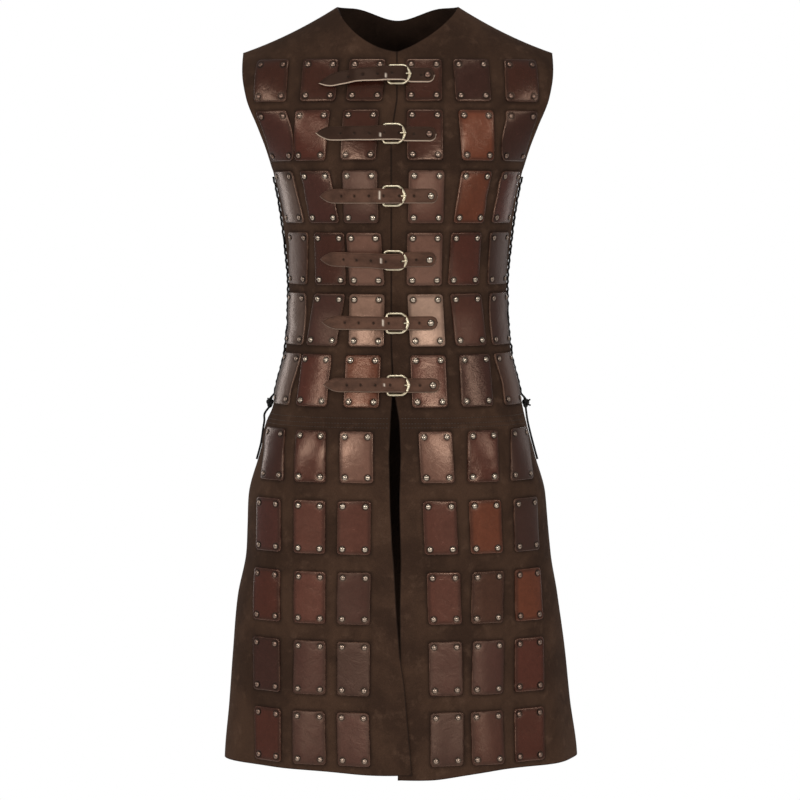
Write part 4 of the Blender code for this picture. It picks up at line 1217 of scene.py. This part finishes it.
def side_point(side, reach, height, out):
    """A point over the laced side: reach is its arc distance in front of the side edge."""
    face = FRONT if reach >= 0 else BACK
    end = float(arc_end(face, height, True))
    return lie(face, side, side * (end - abs(reach)), height, out)[0]


def make_lace(side):
    """The lace that winds between the front and back edges, its knot and its free end."""
    word = SIDE_WORDS[side]
    out = LACE / 2 + LACE_OFF
    step = (LACE_TOP - LACE_FOOT) / (2 * LACE_TURNS)
    route = []
    for turn in range(2 * LACE_TURNS + 1):
        height = LACE_TOP - turn * step
        inset = LACE_INSET * (-1) ** turn
        route += [side_point(side, inset, height + up, out) for up in (LACE_STEP_HALF, -LACE_STEP_HALF)]
        route.append(side_point(side, 0.0, height - step / 2, out + LACE_HUMP))
    edge = float(level_value("half_width", KNOT_HEIGHT))
    middle = np.array([side * (edge + KNOT_OFF_SIDE + KNOT_HALF[0]), 0.0, KNOT_HEIGHT])
    route[-1] = middle + (0, 0, KNOT_HALF[2] - 1.0)
    route.append(middle)
    rod(f"lace_{word}_cord", through(route, 4 * len(route)), LACE, "lace", f"lace_{word}")

    room = [half + KNOT_PLUMP - KNOT_CORD / 2 for half in KNOT_HALF]
    turns = np.linspace(0, 2 * math.pi, KNOT_TURNS, endpoint=False)
    across = (np.sin(turns) + 2 * np.sin(2 * turns)) / 3
    up = (np.cos(turns) - 2 * np.cos(2 * turns)) / 3
    loops = middle + np.stack([across, -np.sin(3 * turns), up], axis=-1) * room
    rod(f"lace_knot_{word}_loops", loops, KNOT_CORD, "lace", f"lace_knot_{word}", closed=True)
    for number, (across, up) in enumerate(KNOT_STUBS[side], start=1):
        tip = middle + (across, -1.0, up)
        bend = middle + (across * 0.5, -1.5, up * 0.6)
        stub = through([middle, bend, tip], STUB_STEPS)
        rod(f"lace_knot_{word}_stub_{number}", stub, LACE * STUB_SHARE, "lace")

    foot = KNOT_HEIGHT - KNOT_HALF[2] + 2.0
    places = [np.array([middle[0], 0.0, foot])]
    for share, bow in zip(LACE_END_SHARES, LACE_END_BOW[side]):
        height = foot + (LACE_END_FOOT - foot) * share
        edge = side_point(side, 0.0, height, out)[0]
        places.append(np.array([edge + side * bow, -1.0, height]))
    line = through(places, LACE_END_STEPS)
    tail = rod(f"lace_end_{word}_cord", line, LACE, "lace", f"lace_end_{word}")
    tuple(line[0] * MM)


# Stitching of the waist seam: each stitch's thickness is a few rings along it
STITCH_HEIGHTS = (-539.8, -547.0, -552.6)
STITCH_PITCH, STITCH_HALF, STITCH_LIFT = 4.3, 1.55, 0.12
STITCH_MARGIN = 5
STITCH_SIDES, STITCH_RADIUS = 6, 0.42
STITCH_RINGS = ((0.15, 0.8), (0.5, 1.1), (0.85, 0.8))


def stitch(start, end, normal):
    """One stitch, a small closed grain of thread between two points."""
    across = unit(np.cross(normal, unit(end - start)))
    rings = [(start + (end - start) * share, STITCH_RADIUS * swell) for share, swell in STITCH_RINGS]
    return ring_stack(rings, across, normal, STITCH_SIDES, (start, end))


def make_stitches():
    """Three rows of stitches round the waist seam."""
    heap = Heap()
    for height, face, side in product(STITCH_HEIGHTS, (FRONT, BACK), (LEFT, RIGHT)):
        start = first_arc(face, side, height) + STITCH_MARGIN
        stop = float(arc_end(face, height, height > WAIST)) - STITCH_MARGIN
        for arc in np.arange(start, stop, STITCH_PITCH):
            ends = side * (arc + np.array([-STITCH_HALF, STITCH_HALF]))
            (first, last), (normal, _) = lie(face, side, ends, height, STITCH_LIFT)
            heap.add(*stitch(first, last, normal))
    heap.piece("waist_stitches", "soft_leather", THREAD)


# The studio
CAMERA_PLACE = (0.0032, -4.2, -0.238)
CAMERA_AIM = (0.0032, 0.0, -0.522)
LENS, SENSOR = 133.3, 36.0
FLOOR_DROP, FLOOR_SIZE = 0.45, 3.6
LIGHT_AIM = (0.0, 0.0, -0.45)
ROOM_LIGHT = 0.27

# Soft boxes: name, place, width, height and watts
SOFT_BOXES = (
    ("left_box", (-1.95, -4.0, 0.05), 0.8, 0.75, 30),
    ("right_box", (1.6, -4.0, 0.05), 0.8, 0.75, 30),
    ("left_side", (-3.2, -2.2, 0.4), 0.6, 1.0, 16),
    ("right_side", (3.2, -2.2, 0.4), 0.6, 1.0, 11),
    ("top_box", (0.0, -1.6, 2.9), 1.6, 0.8, 26),
    ("left_rim", (-2.6, 1.8, -0.3), 0.5, 1.8, 10),
    ("right_rim", (2.6, 1.8, -0.3), 0.5, 1.8, 4),
    ("back_box", (0.6, 3.4, 0.3), 1.2, 1.4, 40),
)


def turn_to(thing, place, aim):
    """Puts a camera or a light at a place, turned to another."""
    thing.location = place
    thing.rotation_euler = (Vector(aim) - Vector(place)).to_track_quat("-Z", "Y").to_euler()


def make_camera():
    data = bpy.data.cameras.new("camera")
    data.lens = LENS
    data.sensor_width = SENSOR
    camera = put_in_scene("camera", data)
    turn_to(camera, CAMERA_PLACE, CAMERA_AIM)
    bpy.context.scene.camera = camera


def make_lights():
    for name, place, width, height, watts in SOFT_BOXES:
        light = bpy.data.lights.new(name, "AREA")
        light.shape = "RECTANGLE"
        light.size, light.size_y, light.energy = width, height, watts
        turn_to(put_in_scene(name, light), place, LIGHT_AIM)


def make_room():
    """A pale room: white where the camera sees it, dim where it lights the jacket."""
    world = bpy.data.worlds.new("room")
    world.use_nodes = True
    tree = world.node_tree
    backdrop, dim = tree.nodes["Background"], tree.nodes.new("ShaderNodeBackground")
    for light, strength in ((backdrop, 1.0), (dim, ROOM_LIGHT)):
        light.inputs["Color"].default_value = (1, 1, 1, 1)
        light.inputs["Strength"].default_value = strength
    path = tree.nodes.new("ShaderNodeLightPath")
    mix = tree.nodes.new("ShaderNodeMixShader")
    tree.links.new(path.outputs["Is Camera Ray"], mix.inputs["Fac"])
    tree.links.new(dim.outputs["Background"], mix.inputs[1])
    tree.links.new(backdrop.outputs["Background"], mix.inputs[2])
    tree.links.new(mix.outputs["Shader"], tree.nodes["World Output"].inputs["Surface"])
    bpy.context.scene.world = world
    bpy.context.scene.view_settings.view_transform = "Standard"


def make_floor():
    paint = Finish("floor_paint", Roughness=0.9, Base_Color=(0.9, 0.9, 0.9, 1),
                   Emission_Color=(1, 1, 1, 1), Emission_Strength=0.2)
    half = FLOOR_SIZE / 2
    level = HEM * MM - FLOOR_DROP
    corners = [(-half, -half, level), (half, -half, level), (half, half, level), (-half, half, level)]
    mesh = bpy.data.meshes.new("floor")
    mesh.from_pydata(corners, [], [(0, 1, 2, 3)])
    mesh.materials.append(paint.material)
    put_in_scene("floor", mesh)


make_camera()
make_lights()
make_room()
make_floor()
for lace_side in (LEFT, RIGHT):
    make_lace(lace_side)
for (panel_face, panel_sides), is_bodice in product(PANELS, (True, False)):
    make_panel(panel_face, panel_sides, is_bodice)
    make_plates(panel_face, panel_sides, is_bodice)
for strap_number, strap_closure in enumerate(CLOSURES, start=1):
    make_strap(strap_number, strap_closure)
    make_chape(strap_number, strap_closure)
    make_buckle(strap_number, strap_closure)
make_stitches()
